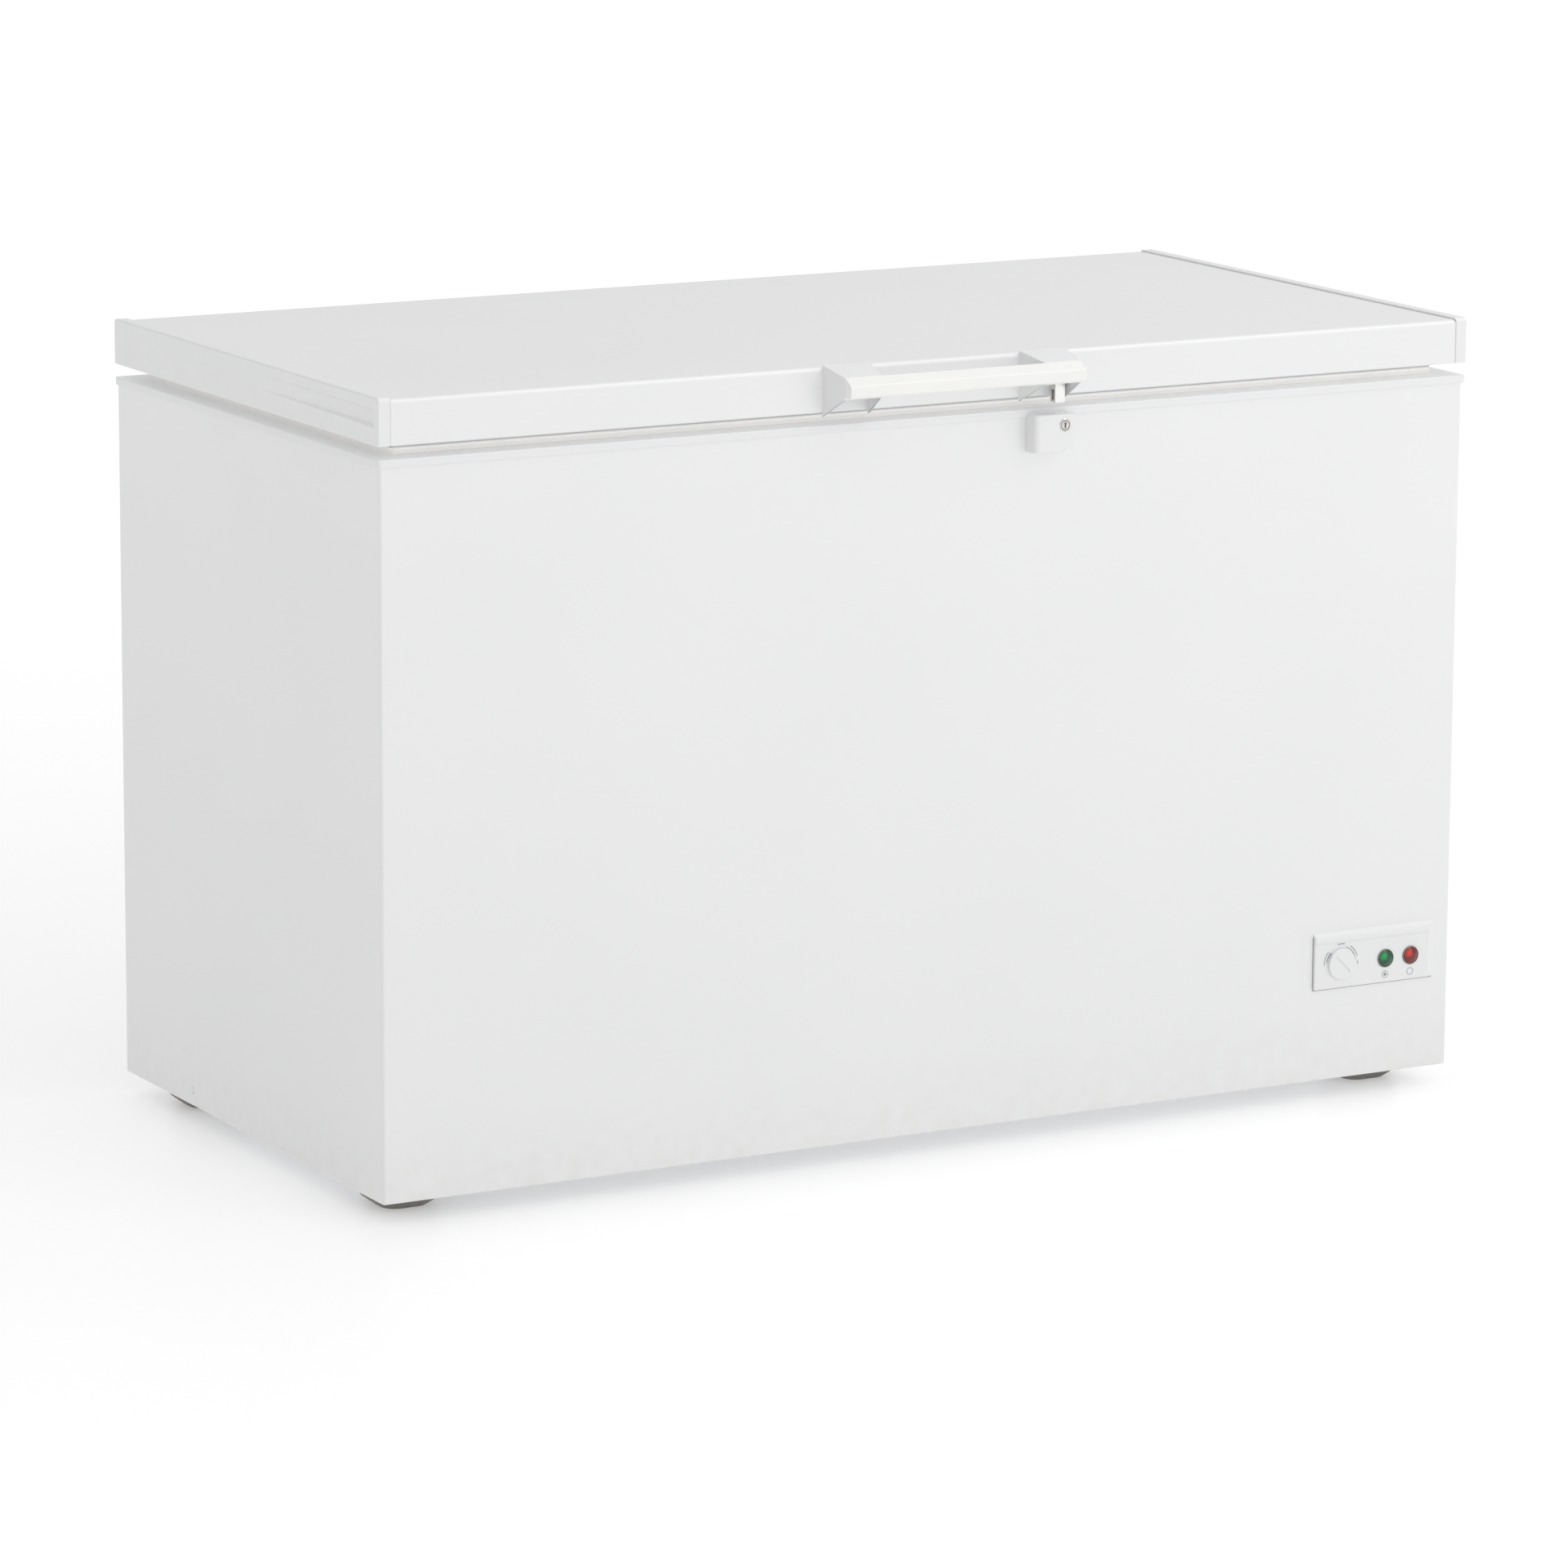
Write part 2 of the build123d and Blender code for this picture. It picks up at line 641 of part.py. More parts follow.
def control_panel():
    plate = panel_plate()
    plate -= rod((knob_x, panel_face - 5.0, dial_z), shaft_radius + 0.5, 20.0, "y")
    for x in (lamp_green_x, lamp_red_x):
        plate -= rod((x, panel_face - 5.0, dial_z), 9.0, 20.0, "y")
    return plate


def thermostat_knob():
    """Flat disc with a slot for a coin, on a shaft that runs into the thermostat."""
    disc = rod((knob_x, panel_face - 4.0, dial_z), 17.0, 3.6, "y")
    disc = fillet(disc.edges().sort_by(Axis.Y)[0], 0.8)
    slot = Pos(knob_x, panel_face - 4.0, dial_z) * Rot(0, 45, 0) * Box(25.0, 2.4, 2.6)
    shaft = rod((knob_x, panel_face - 0.4, dial_z), shaft_radius, 20.0, "y")
    return disc - slot + shaft


def thermostat_body():
    """Switch with a bush for the knob's shaft and the socket of its sensing bulb."""
    y = inner_front + 8.0
    body = block((knob_x - 20.0, knob_x + 20.0), (y, y + 32.0), (dial_z - 15.0, dial_z + 16.0))
    body = fillet(body.edges().filter_by(Axis.Y), 3.0)
    bush = rod((knob_x, y - 5.0, dial_z), 6.0, 5.0, "y")
    bore = rod((knob_x, y - 6.0, dial_z), shaft_radius + running_gap, 18.0, "y")
    return body + bush - bore


def lamp_lens(x):
    """Domed coloured lens with a stem that snaps through the panel."""
    stem = rod((x, panel_face, dial_z), 9.0, 8.0, "y")
    rim = rod((x, panel_face - 1.2, dial_z), 11.0, 1.2, "y")
    dome_height = 3.6
    dome_base = 9.6
    dome_radius = (dome_base ** 2 + dome_height ** 2) / (2 * dome_height)
    ball = Pos(x, panel_face - 1.2 - dome_height + dome_radius, dial_z) * Sphere(dome_radius)
    dome = ball & rod((x, panel_face - 1.2 - dome_height, dial_z), dome_base, dome_height, "y")
    return stem + rim + dome


def lamp_holders():
    holders = []
    for x in (lamp_green_x, lamp_red_x):
        case = rod((x, panel_face + 8.2, dial_z), 8.5, 26.0, "y")
        tabs = block((x - 4.0, x + 4.0), (panel_face + 34.2, panel_face + 42.0), (dial_z - 0.4, dial_z + 0.4))
        holders.append(case + tabs)
    return holders


def control_box():
    """Insulating tray behind the panel that the switch and lamps sit in, open to the front."""
    x = (panel_left + 6.0, panel_right - 17.0)
    z = (panel_low + 6.0, panel_high - 6.0)
    box = block(x, (cab_front, cab_front + 66.0), z)
    box -= block((x[0] + 2, x[1] - 2), (cab_front - 1.0, cab_front + 64.0), (z[0] + 2.0, z[1] - 2.0))
    return box - block((520.0, 570.0), (cab_front + 60.0, cab_front + 70.0), (140.0, 166.0))


# ---------------------------------------------------------------- lock
def lock_housing():
    """Rounded box under the handle's right end, hollow behind, slotted on top for the hook."""
    x = (lock_x - 36.0, lock_x + 12.0)
    z = (lock_z - 28.0, lock_z + 12.0)
    shell = block(x, (lid_front - 17.0, cab_front), z)
    front_edges = shell.edges().filter_by(Axis.Y).sort_by(Axis.X)
    shell = fillet(front_edges, 5.0)
    shell = fillet(shell.faces().sort_by(Axis.Y)[0].edges(), 4.0)
    room = block((x[0] + 2.0, x[1] - 2.0), (lid_front - 15.0, cab_front + 1.0), (z[0] + 2.0, z[1] - 2.0))
    shell -= fillet(room.edges().filter_by(Axis.Y), 2.0)
    shell -= rod((lock_x, lid_front - 20.0, lock_z), barrel_radius + running_gap, 10.0, "y")
    shell -= block((lock_x - 33.5, lock_x - 7.0), (hook_y - 1.0, hook_y + hook_thick + 1.0),
                   (z[1] - 3.0, z[1] + 1.0))
    return shell - block((x[0] - 1.0, x[1] + 1.0), (lid_front - 0.2, cab_front + 1.0), (rim_bottom, z[1] + 1.0))


def lock_barrel():
    """Round key barrel with a keyway, and a square tail that carries the hook."""
    barrel = rod((lock_x, lid_front - 17.6, lock_z), barrel_radius, 16.0, "y")
    barrel = chamfer(barrel.edges().sort_by(Axis.Y)[0], 0.6)
    keyway = block((lock_x - 0.9, lock_x + 0.9), (lid_front - 18.0, lid_front - 8.0), (lock_z - 3.8, lock_z + 2.2))
    keyway += rod((lock_x, lid_front - 18.0, lock_z + 2.2), 1.8, 10.0, "y")
    return barrel - keyway


def lock_hook():
    """Flat hook: a ring on the barrel, an arm, and a curved finger that sweeps over the keeper's bar."""
    finger_from = 175.0
    finger_to = 228.0
    arm_from = 215.0
    finger = sector(hook_inner, hook_outer, finger_from, finger_to)
    arm = sector(barrel_radius + 1.5, hook_outer, arm_from, finger_to)
    ring = Circle(barrel_radius + 2.5) - Circle(barrel_radius)
    outline = ring + finger + arm
    place = Plane(origin=(lock_x, hook_y + hook_thick, lock_z), x_dir=(1, 0, 0), z_dir=(0, -1, 0))
    return extrude(place * outline, hook_thick)


def sector(inner, outer, start_deg, end_deg):
    """Part of a flat ring between two angles."""
    steps = 12
    span = [math.radians(start_deg + (end_deg - start_deg) * index / steps) for index in range(steps + 1)]
    reach = outer * 1.3
    wedge = [(0.0, 0.0)] + [(reach * math.cos(angle), reach * math.sin(angle)) for angle in span]
    return (Circle(outer) - Circle(inner)) & Polygon(*wedge, align=None)


def keeper():
    """Lug that hangs inside the right bracket: two cheeks and a bar for the hook to close over."""
    front = lid_front - 13.0
    width = (125.5, 137.0)
    lug = block(width, (front, lid_front - 3.0), (keeper_bar_z - 2.0, 824.0))
    lug -= block((119.0, 138.0), (hook_y - 1.0, hook_y + hook_thick + 1.0), (780.0, 808.0))
    lug += rod((keeper_bar_x, front, keeper_bar_z), 2.0, 10.0, "y")
    lug += block((112.0, 142.0), (lid_front - 2.0, lid_front + 0.5), (812.0, 824.0))
    lug += block(width, (lid_front - 3.0, lid_front + 0.5), (810.0, 824.0))
    for fastener in keeper_screws():
        lug -= fastener
    return lug


# ---------------------------------------------------------------- lid


def lid_top_panel():
    """Painted sheet over the top, folded down front and back and turned in under the edges."""
    bend = 5.5
    outer = block((-cap_x, cap_x), (sheet_front, sheet_back), (lid_bottom, sheet_top))
    outer = fillet(outer.edges().filter_by(Axis.X).sort_by(Axis.Z)[-2:], bend)
    inner = block((-cap_x - 1.0, cap_x + 1.0), (sheet_front + sheet, sheet_back - sheet),
                  (lid_bottom + sheet, sheet_top - sheet))
    inner = fillet(inner.edges().filter_by(Axis.X).sort_by(Axis.Z)[-2:], bend - sheet)
    turned_in = 12.0
    mouth = block((-half_width, half_width), (sheet_front + turned_in, sheet_back - turned_in),
                  (lid_bottom - 1.0, lid_bottom + 2.0))
    panel = outer - inner - mouth
    for fastener in handle_screws() + keeper_screws() + hinge_leaf_screws():
        panel -= fastener
    return panel


def lid_end_cap(side):
    """Moulded cap over one end of the lid, hollow towards the insulation."""
    cap = block((cap_x, half_width), (lid_front, lid_back), (lid_bottom, overall_height))
    cap = fillet(cap.edges().filter_by(Axis.X).sort_by(Axis.Z)[-2:], 5.0)
    outer_edges = cap.faces().sort_by(Axis.X)[-1].edges().sort_by(Axis.Z)[1:]
    cap = fillet(outer_edges, 2.0)
    cap -= block((cap_x - 1.0, half_width - 3.0), (lid_front + 3.0, lid_back - 3.0),
                 (lid_bottom - 1.0, overall_height - 3.0))
    cap -= grip_scoop()
    return cap if side > 0 else mirror(cap, Plane.YZ)


def grip_scoop():
    """Shallow wedge pressed into the outer face, deepest near the front."""
    depth = 2.2
    length = 282.0
    near = lid_front + 8.0
    outline = Plane.XY * Polygon((half_width - depth, near), (half_width + 1.0, near),
                                 (half_width + 1.0, near + length * (1 + 1 / depth)), align=None)
    return Pos(0, 0, 819.0) * extrude(outline, 19.0, dir=(0, 0, 1))


def lid_foam():
    """Rigid foam inside the lid, with a thicker field that fills the liner's plug."""
    core = block((-cap_x, cap_x), (sheet_front + sheet, sheet_back - sheet), (liner_top, sheet_top - sheet))
    core = fillet(core.edges().filter_by(Axis.X).sort_by(Axis.Z)[-2:], 4.7)
    ends = block((3.0 - half_width, half_width - 3.0), (lid_front + 3.0, lid_back - 3.0),
                 (liner_top, overall_height - 3.0))
    ends -= block((-cap_x, cap_x), (lid_front, lid_back), (liner_top - 1.0, overall_height))
    field = plug_block(2.0, plug_bottom + 2.0, liner_top)
    foam = core + ends + field
    for fastener in handle_screws() + keeper_screws() + hinge_leaf_screws():
        foam -= fastener
    return foam - keeper()


def plug_block(gap, z_low, z_high):
    """The raised field under the lid, shrunk inwards by a gap."""
    inset = plug_inset + gap
    field = block((inset - half_width, half_width - inset), (lid_front + inset, lid_back - inset), (z_low, z_high))
    return fillet(upright_edges(field), 22.0 - gap)


def lid_inner_liner():
    """Moulded inner skin of the lid: a flat border and a plug that fills the mouth of the tub."""
    plate = block((3.0 - half_width, half_width - 3.0), (lid_front + 3.0, lid_back - 3.0),
                  (lid_bottom + sheet, liner_top))
    plate += plug_block(0.0, plug_bottom, lid_bottom + sheet)
    return plate - plug_block(2.0, plug_bottom + 2.0, liner_top + 1.0)


def gasket():
    """Magnetic door seal: a foot in the lid, a soft bellows and a wider strip on the rim."""
    low = rim_top + clear_gap
    seal = frame_ring(27.0, 49.0, lid_bottom + sheet - 4.0, lid_bottom + sheet)
    seal += frame_ring(31.0, 45.0, low, lid_bottom + sheet)
    seal += frame_ring(28.0, 48.0, low, low + 5.0)
    return seal


def handle_bracket(side):
    """Hollow wedge between the lid and the bar, open underneath, with a screw web and a rib."""
    reach = handle_reach - 13.0
    body = bracket_wedge(0.0, reach)
    body -= bracket_wedge(2.5, reach)
    web = block((91.0, 143.0), (lid_front - 2.5, lid_front + 0.5), (828.0, 847.6))
    rib = block((105.0, 107.0), (lid_front - reach + 2.0, lid_front), (830.0, 848.0))
    body += (web + rib) & bracket_wedge(0.0, reach)
    if side < 0:
        body = mirror(body, Plane.YZ)
    for fastener in handle_screws():
        body -= fastener
    return body


def bracket_wedge(thickness, reach):
    """A wedge that narrows and drops from the lid to the bar; with a thickness it is the hollow inside."""
    inset = thickness
    drop = 3.0 if thickness else 0.0
    near = rect_at(lid_front + 0.5, (89.0 + inset, 145.0 - inset), (797.0 - drop, overall_height - inset))
    far = rect_at(lid_front - reach + inset, (97.0 + inset, 141.2 - inset), (818.5 - drop, bar_top - inset))
    return loft([near, far], ruled=True)


def rect_at(y, x, z):
    """An upright rectangle at one depth."""
    corners = ((x[0], y, z[0]), (x[1], y, z[0]), (x[1], y, z[1]), (x[0], y, z[1]))
    return make_face(Polyline(*corners, close=True))


def handle_bar():
    """Straight bar with a sloping top edge that fingers close round."""
    back = lid_front - handle_reach + 13.0
    front = lid_front - handle_reach
    bar = side_plate([(back, bar_top), (front + 0.8, 834.6), (front, 833.6), (front, 822.5),
                      (front + 1.5, bar_low), (back, bar_low)], -bar_half, bar_half)
    return chamfer(bar.edges().filter_by(Axis.Z), 1.0)


# ---------------------------------------------------------------- hinges
def hinge_base(side):
    """Channel screwed to the back of the cabinet: two cheeks, a rear web, a guide and a spring seat."""
    low = spring_bottom - 5.0
    cheek_outline = [(cab_back, low), (cab_back, rim_bottom - 0.4), (lid_back + 0.5, rim_bottom - 0.4),
                     (lid_back + 0.5, pivot_z - 8.0), (pivot_y - 6.5, pivot_z + 2.0), (pivot_y - 3.5, pivot_z + 6.0),
                     (pivot_y + 3.5, pivot_z + 6.0), (pivot_y + 6.5, pivot_z + 2.0),
                     (lid_back + hinge_reach, pivot_z - 6.0), (lid_back + hinge_reach, low)]
    base = side_plate(cheek_outline, -23.0, -21.0)
    base += side_plate(cheek_outline, 21.0, 23.0)
    base += block((-21.0, 21.0), (lid_back + hinge_reach - 2.0, lid_back + hinge_reach), (low, pivot_z - 6.0))
    base += block((-38.0, -23.0), (cab_back, cab_back + 2.0), (low, rim_bottom - 4.0))
    base += block((23.0, 38.0), (cab_back, cab_back + 2.0), (low, rim_bottom - 4.0))
    base += block((-21.0, 21.0), (cab_back + 1.0, lid_back + hinge_reach - 2.0), (low, spring_bottom))
    guide = block((-21.0, 21.0), (cab_back + 1.0, lid_back + hinge_reach - 2.0),
                  (plunger_top - 32.0, plunger_top - 24.0))
    base += guide - rod((0, pivot_y, plunger_top - 40.0), plunger_radius + running_gap, 20.0)
    base -= rod((-24.0, pivot_y, pivot_z), pin_radius, 48.0, "x")
    base = Pos(side * hinge_x, 0, 0) * base
    for fastener in hinge_base_screws():
        base -= fastener
    return base


def hinge_pins():
    """Headed pin fixed in the cheeks of each base; the leaf turns on it."""
    pins = []
    for side in (-1, 1):
        x = side * hinge_x
        pin = rod((x - 23.0, pivot_y, pivot_z), pin_radius, 46.0, "x")
        pin += rod((x - 25.0, pivot_y, pivot_z), pin_radius + 2.0, 2.0, "x")
        pin += rod((x + 23.0, pivot_y, pivot_z), pin_radius + 2.0, 2.0, "x")
        pins.append(pin)
    return pins


def cam_point(angle):
    """Point of the cam's spiral: the flat plunger falls back by plunger_rate for each radian of lid travel."""
    reach = cam_start - plunger_rate * angle
    y = reach * math.sin(angle) - plunger_rate * math.cos(angle)
    z = -reach * math.cos(angle) - plunger_rate * math.sin(angle)
    return (pivot_y + y, pivot_z + z)


def hinge_leaf(side):
    """Plate on the back of the lid with two ears and a cam between them."""
    face = sheet_back
    plate = block((-19.5, 19.5), (face, face + 2.0), (pivot_z - 3.0, overall_height - 6.0))
    ear_outline = [(face, pivot_z - 3.0), (pivot_y, pivot_z - 5.0), (pivot_y + 5.0, pivot_z),
                   (pivot_y, pivot_z + 5.0), (face, pivot_z + 20.0)]
    leaf = plate + side_plate(ear_outline, -19.5, -17.5) + side_plate(ear_outline, 17.5, 19.5)
    last = math.radians(lid_travel_deg)
    steps = 10
    spiral = [cam_point(last * index / steps) for index in range(steps + 1)]
    cam_outline = spiral + [(pivot_y + 5.0, pivot_z), (pivot_y, pivot_z + 5.0), (face + 1.0, pivot_z + 10.0),
                            (face + 1.0, pivot_z - 2.0)]
    leaf += side_plate(cam_outline, -4.0, 4.0)
    for x_low in (-19.5, 17.5):
        leaf += rod((x_low, pivot_y, pivot_z), 5.5, 2.0, "x")
    leaf -= rod((-24.0, pivot_y, pivot_z), pin_radius + running_gap, 48.0, "x")
    leaf = Pos(side * hinge_x, 0, 0) * leaf
    for fastener in hinge_leaf_screws():
        leaf -= fastener
    return leaf


def hinge_plungers():
    """Flat-topped plunger of each hinge, pressed up against the cam by its spring."""
    plungers = []
    for side in (-1, 1):
        body = rod((side * hinge_x, pivot_y, plunger_bottom), plunger_radius, plunger_top - plunger_bottom)
        plungers.append(fillet(body.edges().sort_by(Axis.Z)[-1], 0.5))
    return plungers


def hinge_springs():
    """Coil spring between each plunger and the seat at the bottom of its base."""
    wire = 1.2
    mean = plunger_radius - wire - 0.6
    rise = plunger_bottom - spring_bottom - 2 * wire - 0.2
    springs = []
    for side in (-1, 1):
        path = Helix(pitch=rise / 7, height=rise, radius=mean)
        profile = Plane(origin=path @ 0, z_dir=path % 0) * Circle(wire)
        coil = sweep(profile, path, is_frenet=True)
        springs.append(Pos(side * hinge_x, pivot_y, spring_bottom + wire + 0.1) * coil)
    return springs


# ---------------------------------------------------------------- basket
def basket():
    """Open basket with a rail on each side that hangs on the rim's ledge."""
    top = ledge_z + clear_gap + 3.0
    y_low = lid_front + ledge_inner + 12.0
    y_high = lid_back - ledge_inner - 12.0
    side = 3.0
    body = block((basket_left, basket_right), (y_low, y_high), (top - basket_height, top))
    body = fillet(upright_edges(body), 12.0)
    room = block((basket_left + side, basket_right - side), (y_low + side, y_high - side),
                 (top - basket_height + side, top + 1.0))
    body -= fillet(upright_edges(room), 12.0 - side)
    rail_in = 20.0
    for y in ((lid_front + ledge_outer + 3.0, y_low + 1.0), (y_high - 1.0, lid_back - ledge_outer - 3.0)):
        body += block((basket_left + rail_in, basket_right - rail_in), y, (top - 3.0, top))
    return body


# ---------------------------------------------------------------- every node
def build():
    save("outer_wrap", outer_wrap())
    save("back_panel", back_panel())
    save("base_pan", base_pan())
    save("step_plate", step_plate())
    save("cabinet_foam", cabinet_foam())
    save("inner_liner", inner_liner())
    save("top_frame", top_frame())
    save("evaporator_coil", evaporator_coil())
    save("condenser_coil", condenser_coil())
    save("filter_drier", filter_drier())
    save("capillary_tube", capillary_tube())
    save("discharge_pipe", discharge_pipe())
    save("suction_pipe", suction_pipe())
    save("compressor_tray", compressor_tray())
    save("compressor", compressor())
    save("compressor_grommets", group(compressor_grommets()))
    save("compressor_bolts", group(compressor_bolts()))
    save("starter_box", starter_box())
    save("side_grille", side_grille())
    save("rear_cover", rear_cover())
    save("rear_cover_screws", group(rear_cover_screws()))
    save("cable_gland", cable_gland())
    save("side_plug", side_plug())
    save("drain_tube", drain_tube())
    save("drain_cap", drain_cap())
    save("drain_plug", drain_plug())
    save("feet", group([foot(x, y) for x, y in foot_positions()]))
    save("foot_screws", group(foot_screws()))
    save("control_panel", control_panel())
    save("control_box", control_box())
    save("thermostat_body", thermostat_body())
    save("thermostat_knob", thermostat_knob())
    save("lamp_green", lamp_lens(lamp_green_x))
    save("lamp_red", lamp_lens(lamp_red_x))
    save("lamp_holders", group(lamp_holders()))
    save("lock_housing", lock_housing())
    save("lock_barrel", lock_barrel())
    save("lock_hook", lock_hook())
    save("keeper", keeper())
    save("keeper_screws", group(keeper_screws()))
    save("lid_top_panel", lid_top_panel())
    save("lid_end_cap_left", lid_end_cap(-1))
    save("lid_end_cap_right", lid_end_cap(1))
    save("lid_foam", lid_foam())
    save("lid_inner_liner", lid_inner_liner())
    save("gasket", gasket())
    save("handle_bracket_left", handle_bracket(-1))
    save("handle_bracket_right", handle_bracket(1))
    save("handle_bar", handle_bar())
    save("handle_screws", group(handle_screws()))
    save("hinge_base_left", hinge_base(-1))
    save("hinge_base_right", hinge_base(1))
    save("hinge_leaf_left", hinge_leaf(-1))
    save("hinge_leaf_right", hinge_leaf(1))
    save("hinge_pins", group(hinge_pins()))
    save("hinge_base_screws", group(hinge_base_screws()))
    save("hinge_leaf_screws", group(hinge_leaf_screws()))
    save("hinge_plungers", group(hinge_plungers()))
    save("hinge_springs", group(hinge_springs()))
    save("basket", basket())


build()
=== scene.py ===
# %% [markdown]
# # A chest freezer, dressed around its CAD frame
# The CAD model already says where everything is and how it moves. This file gives
# each piece the look of the real thing: folded enamelled sheet, moulded plastic, a
# soft seal, a printed dial, coated wire. The frame is loaded once.

# %% Load the frame
import json
import math

import bmesh
import bpy
from mathutils import Matrix, Vector


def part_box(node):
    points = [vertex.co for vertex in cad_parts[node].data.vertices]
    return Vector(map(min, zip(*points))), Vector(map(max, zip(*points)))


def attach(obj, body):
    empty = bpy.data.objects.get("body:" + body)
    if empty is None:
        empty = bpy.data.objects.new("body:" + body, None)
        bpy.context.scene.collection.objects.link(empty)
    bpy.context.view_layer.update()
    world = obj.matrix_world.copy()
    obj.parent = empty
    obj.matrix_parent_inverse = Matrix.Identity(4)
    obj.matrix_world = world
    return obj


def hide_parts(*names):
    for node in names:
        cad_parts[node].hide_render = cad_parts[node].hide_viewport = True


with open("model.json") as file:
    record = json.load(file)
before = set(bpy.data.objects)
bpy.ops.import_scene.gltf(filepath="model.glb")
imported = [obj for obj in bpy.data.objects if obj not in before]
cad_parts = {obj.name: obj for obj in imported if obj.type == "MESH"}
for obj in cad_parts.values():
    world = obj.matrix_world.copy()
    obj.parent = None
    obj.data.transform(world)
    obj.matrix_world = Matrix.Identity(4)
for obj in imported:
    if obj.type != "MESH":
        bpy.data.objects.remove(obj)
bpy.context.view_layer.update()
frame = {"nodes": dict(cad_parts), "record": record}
MM = 0.001

# %% [markdown]
# ## Where things are
# A piece has to sit exactly where its CAD node sits, so every place is read from
# the node's own box. The lid's two end caps give the lid's width, depth and height.
# The wrap and the lid's sheet give the folded sheets their outer faces.

# %% Measure the main boxes
left_cap_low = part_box("lid_end_cap_left")[0]
right_cap_low, right_cap_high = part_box("lid_end_cap_right")
skin_low, skin_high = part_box("outer_wrap")
sheet_low, sheet_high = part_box("lid_top_panel")
lid_x = (left_cap_low.x, right_cap_high.x)
lid_y = (right_cap_low.y, right_cap_high.y)
lid_z = (right_cap_low.z, right_cap_high.z)
print("lid", [round(v, 4) for v in lid_x + lid_y + lid_z])

# %% [markdown]
# ## The camera
# A long lens from over seven metres away keeps upright edges upright and nearly
# parallel, as a catalogue view does. The camera looks from the left of the front
# and a little from above, so the front, the left end and the lid's top all show.

# %% Camera
CAMERA_PLACE = Vector((-3.70048, -6.63525, 1.90438))
CAMERA_YAW, CAMERA_PITCH, CAMERA_ROLL = 0.5071, 0.2028, 0.0057
CAMERA_LENS, CAMERA_FILM = 164.3, 36.0


def camera_turn(yaw, pitch, roll):
    """The camera's axes: right, up and backwards, as columns of a matrix."""
    level = math.cos(pitch)
    ahead = Vector((math.sin(yaw) * level, math.cos(yaw) * level, -math.sin(pitch)))
    right = Vector((math.cos(yaw), -math.sin(yaw), 0.0))
    up = right.cross(ahead)
    tilted_right = right * math.cos(roll) + up * math.sin(roll)
    tilted_up = up * math.cos(roll) - right * math.sin(roll)
    return Matrix((tilted_right, tilted_up, -ahead)).transposed()


lens = bpy.data.cameras.new("view")
lens.lens = CAMERA_LENS
lens.sensor_width = CAMERA_FILM
lens.clip_end = 200.0
camera = bpy.data.objects.new("view", lens)
camera_axes = camera_turn(CAMERA_YAW, CAMERA_PITCH, CAMERA_ROLL).to_4x4()
camera.matrix_world = Matrix.Translation(CAMERA_PLACE) @ camera_axes
bpy.context.scene.collection.objects.link(camera)
bpy.context.scene.camera = camera
print("camera", tuple(round(v, 3) for v in camera.location))

# %% [markdown]
# ## Making finishes
# Every finish here is a Principled shader fed by procedural noise. Noise is read in
# object space and its scale is set in millimetres, so a grain of one millimetre is
# one millimetre on every piece. Three small helpers do most of the work: one makes
# noise, one turns it into a range of values, one turns it into tiny relief.

# %% Helpers for finishes
finishes = {}


def start_finish(name, metallic=0.0):
    finish = bpy.data.materials.new(name)
    finish.use_nodes = True
    shader = finish.node_tree.nodes["Principled BSDF"]
    shader.inputs["Metallic"].default_value = metallic
    finishes[name] = finish
    return finish.node_tree, shader


def object_place(tree, stretch=(1.0, 1.0, 1.0)):
    """Object coordinates, squeezed along some axes where a grain has a direction."""
    source = tree.nodes.new("ShaderNodeTexCoord")
    squeeze = tree.nodes.new("ShaderNodeMapping")
    squeeze.inputs["Scale"].default_value = stretch
    tree.links.new(source.outputs["Object"], squeeze.inputs["Vector"])
    return squeeze.outputs["Vector"]


def grain(tree, size_mm, detail=3.0, stretch=(1.0, 1.0, 1.0)):
    """Noise from 0 to 1 whose features are about size_mm across."""
    noise = tree.nodes.new("ShaderNodeTexNoise")
    noise.inputs["Scale"].default_value = 1.0 / (size_mm * MM)
    noise.inputs["Detail"].default_value = detail
    tree.links.new(object_place(tree, stretch), noise.inputs["Vector"])
    return noise.outputs[0]


def spread(tree, value, low, high, from_low=0.3, from_high=0.7):
    """Turns a value into a range between low and high."""
    range_node = tree.nodes.new("ShaderNodeMapRange")
    range_node.inputs["From Min"].default_value = from_low
    range_node.inputs["From Max"].default_value = from_high
    range_node.inputs["To Min"].default_value = low
    range_node.inputs["To Max"].default_value = high
    tree.links.new(value, range_node.inputs["Value"])
    return range_node.outputs["Result"]


def clouds(tree, size_mm, detail):
    """Soft patches from 0 to 1, used to mix a colour with its darker shade."""
    return spread(tree, grain(tree, size_mm, detail), 0.0, 1.0)


def blend_colours(tree, factor, first, second):
    """Mixes two colours. Either may be a fixed colour or another node's output."""
    mix = tree.nodes.new("ShaderNodeMix")
    mix.data_type = "RGBA"
    tree.links.new(factor, mix.inputs["Factor"])
    for colour, socket in ((first, mix.inputs[6]), (second, mix.inputs[7])):
        if isinstance(colour, bpy.types.NodeSocket):
            tree.links.new(colour, socket)
        else:
            socket.default_value = (*colour, 1.0)
    return mix.outputs[2]


def relief(tree, shader, height, depth_mm, strength=1.0):
    """Tiny relief: height from 0 to 1 stands for depth_mm."""
    bump = tree.nodes.new("ShaderNodeBump")
    bump.inputs["Distance"].default_value = depth_mm * MM
    bump.inputs["Strength"].default_value = strength
    tree.links.new(height, bump.inputs["Height"])
    tree.links.new(bump.outputs["Normal"], shader.inputs["Normal"])


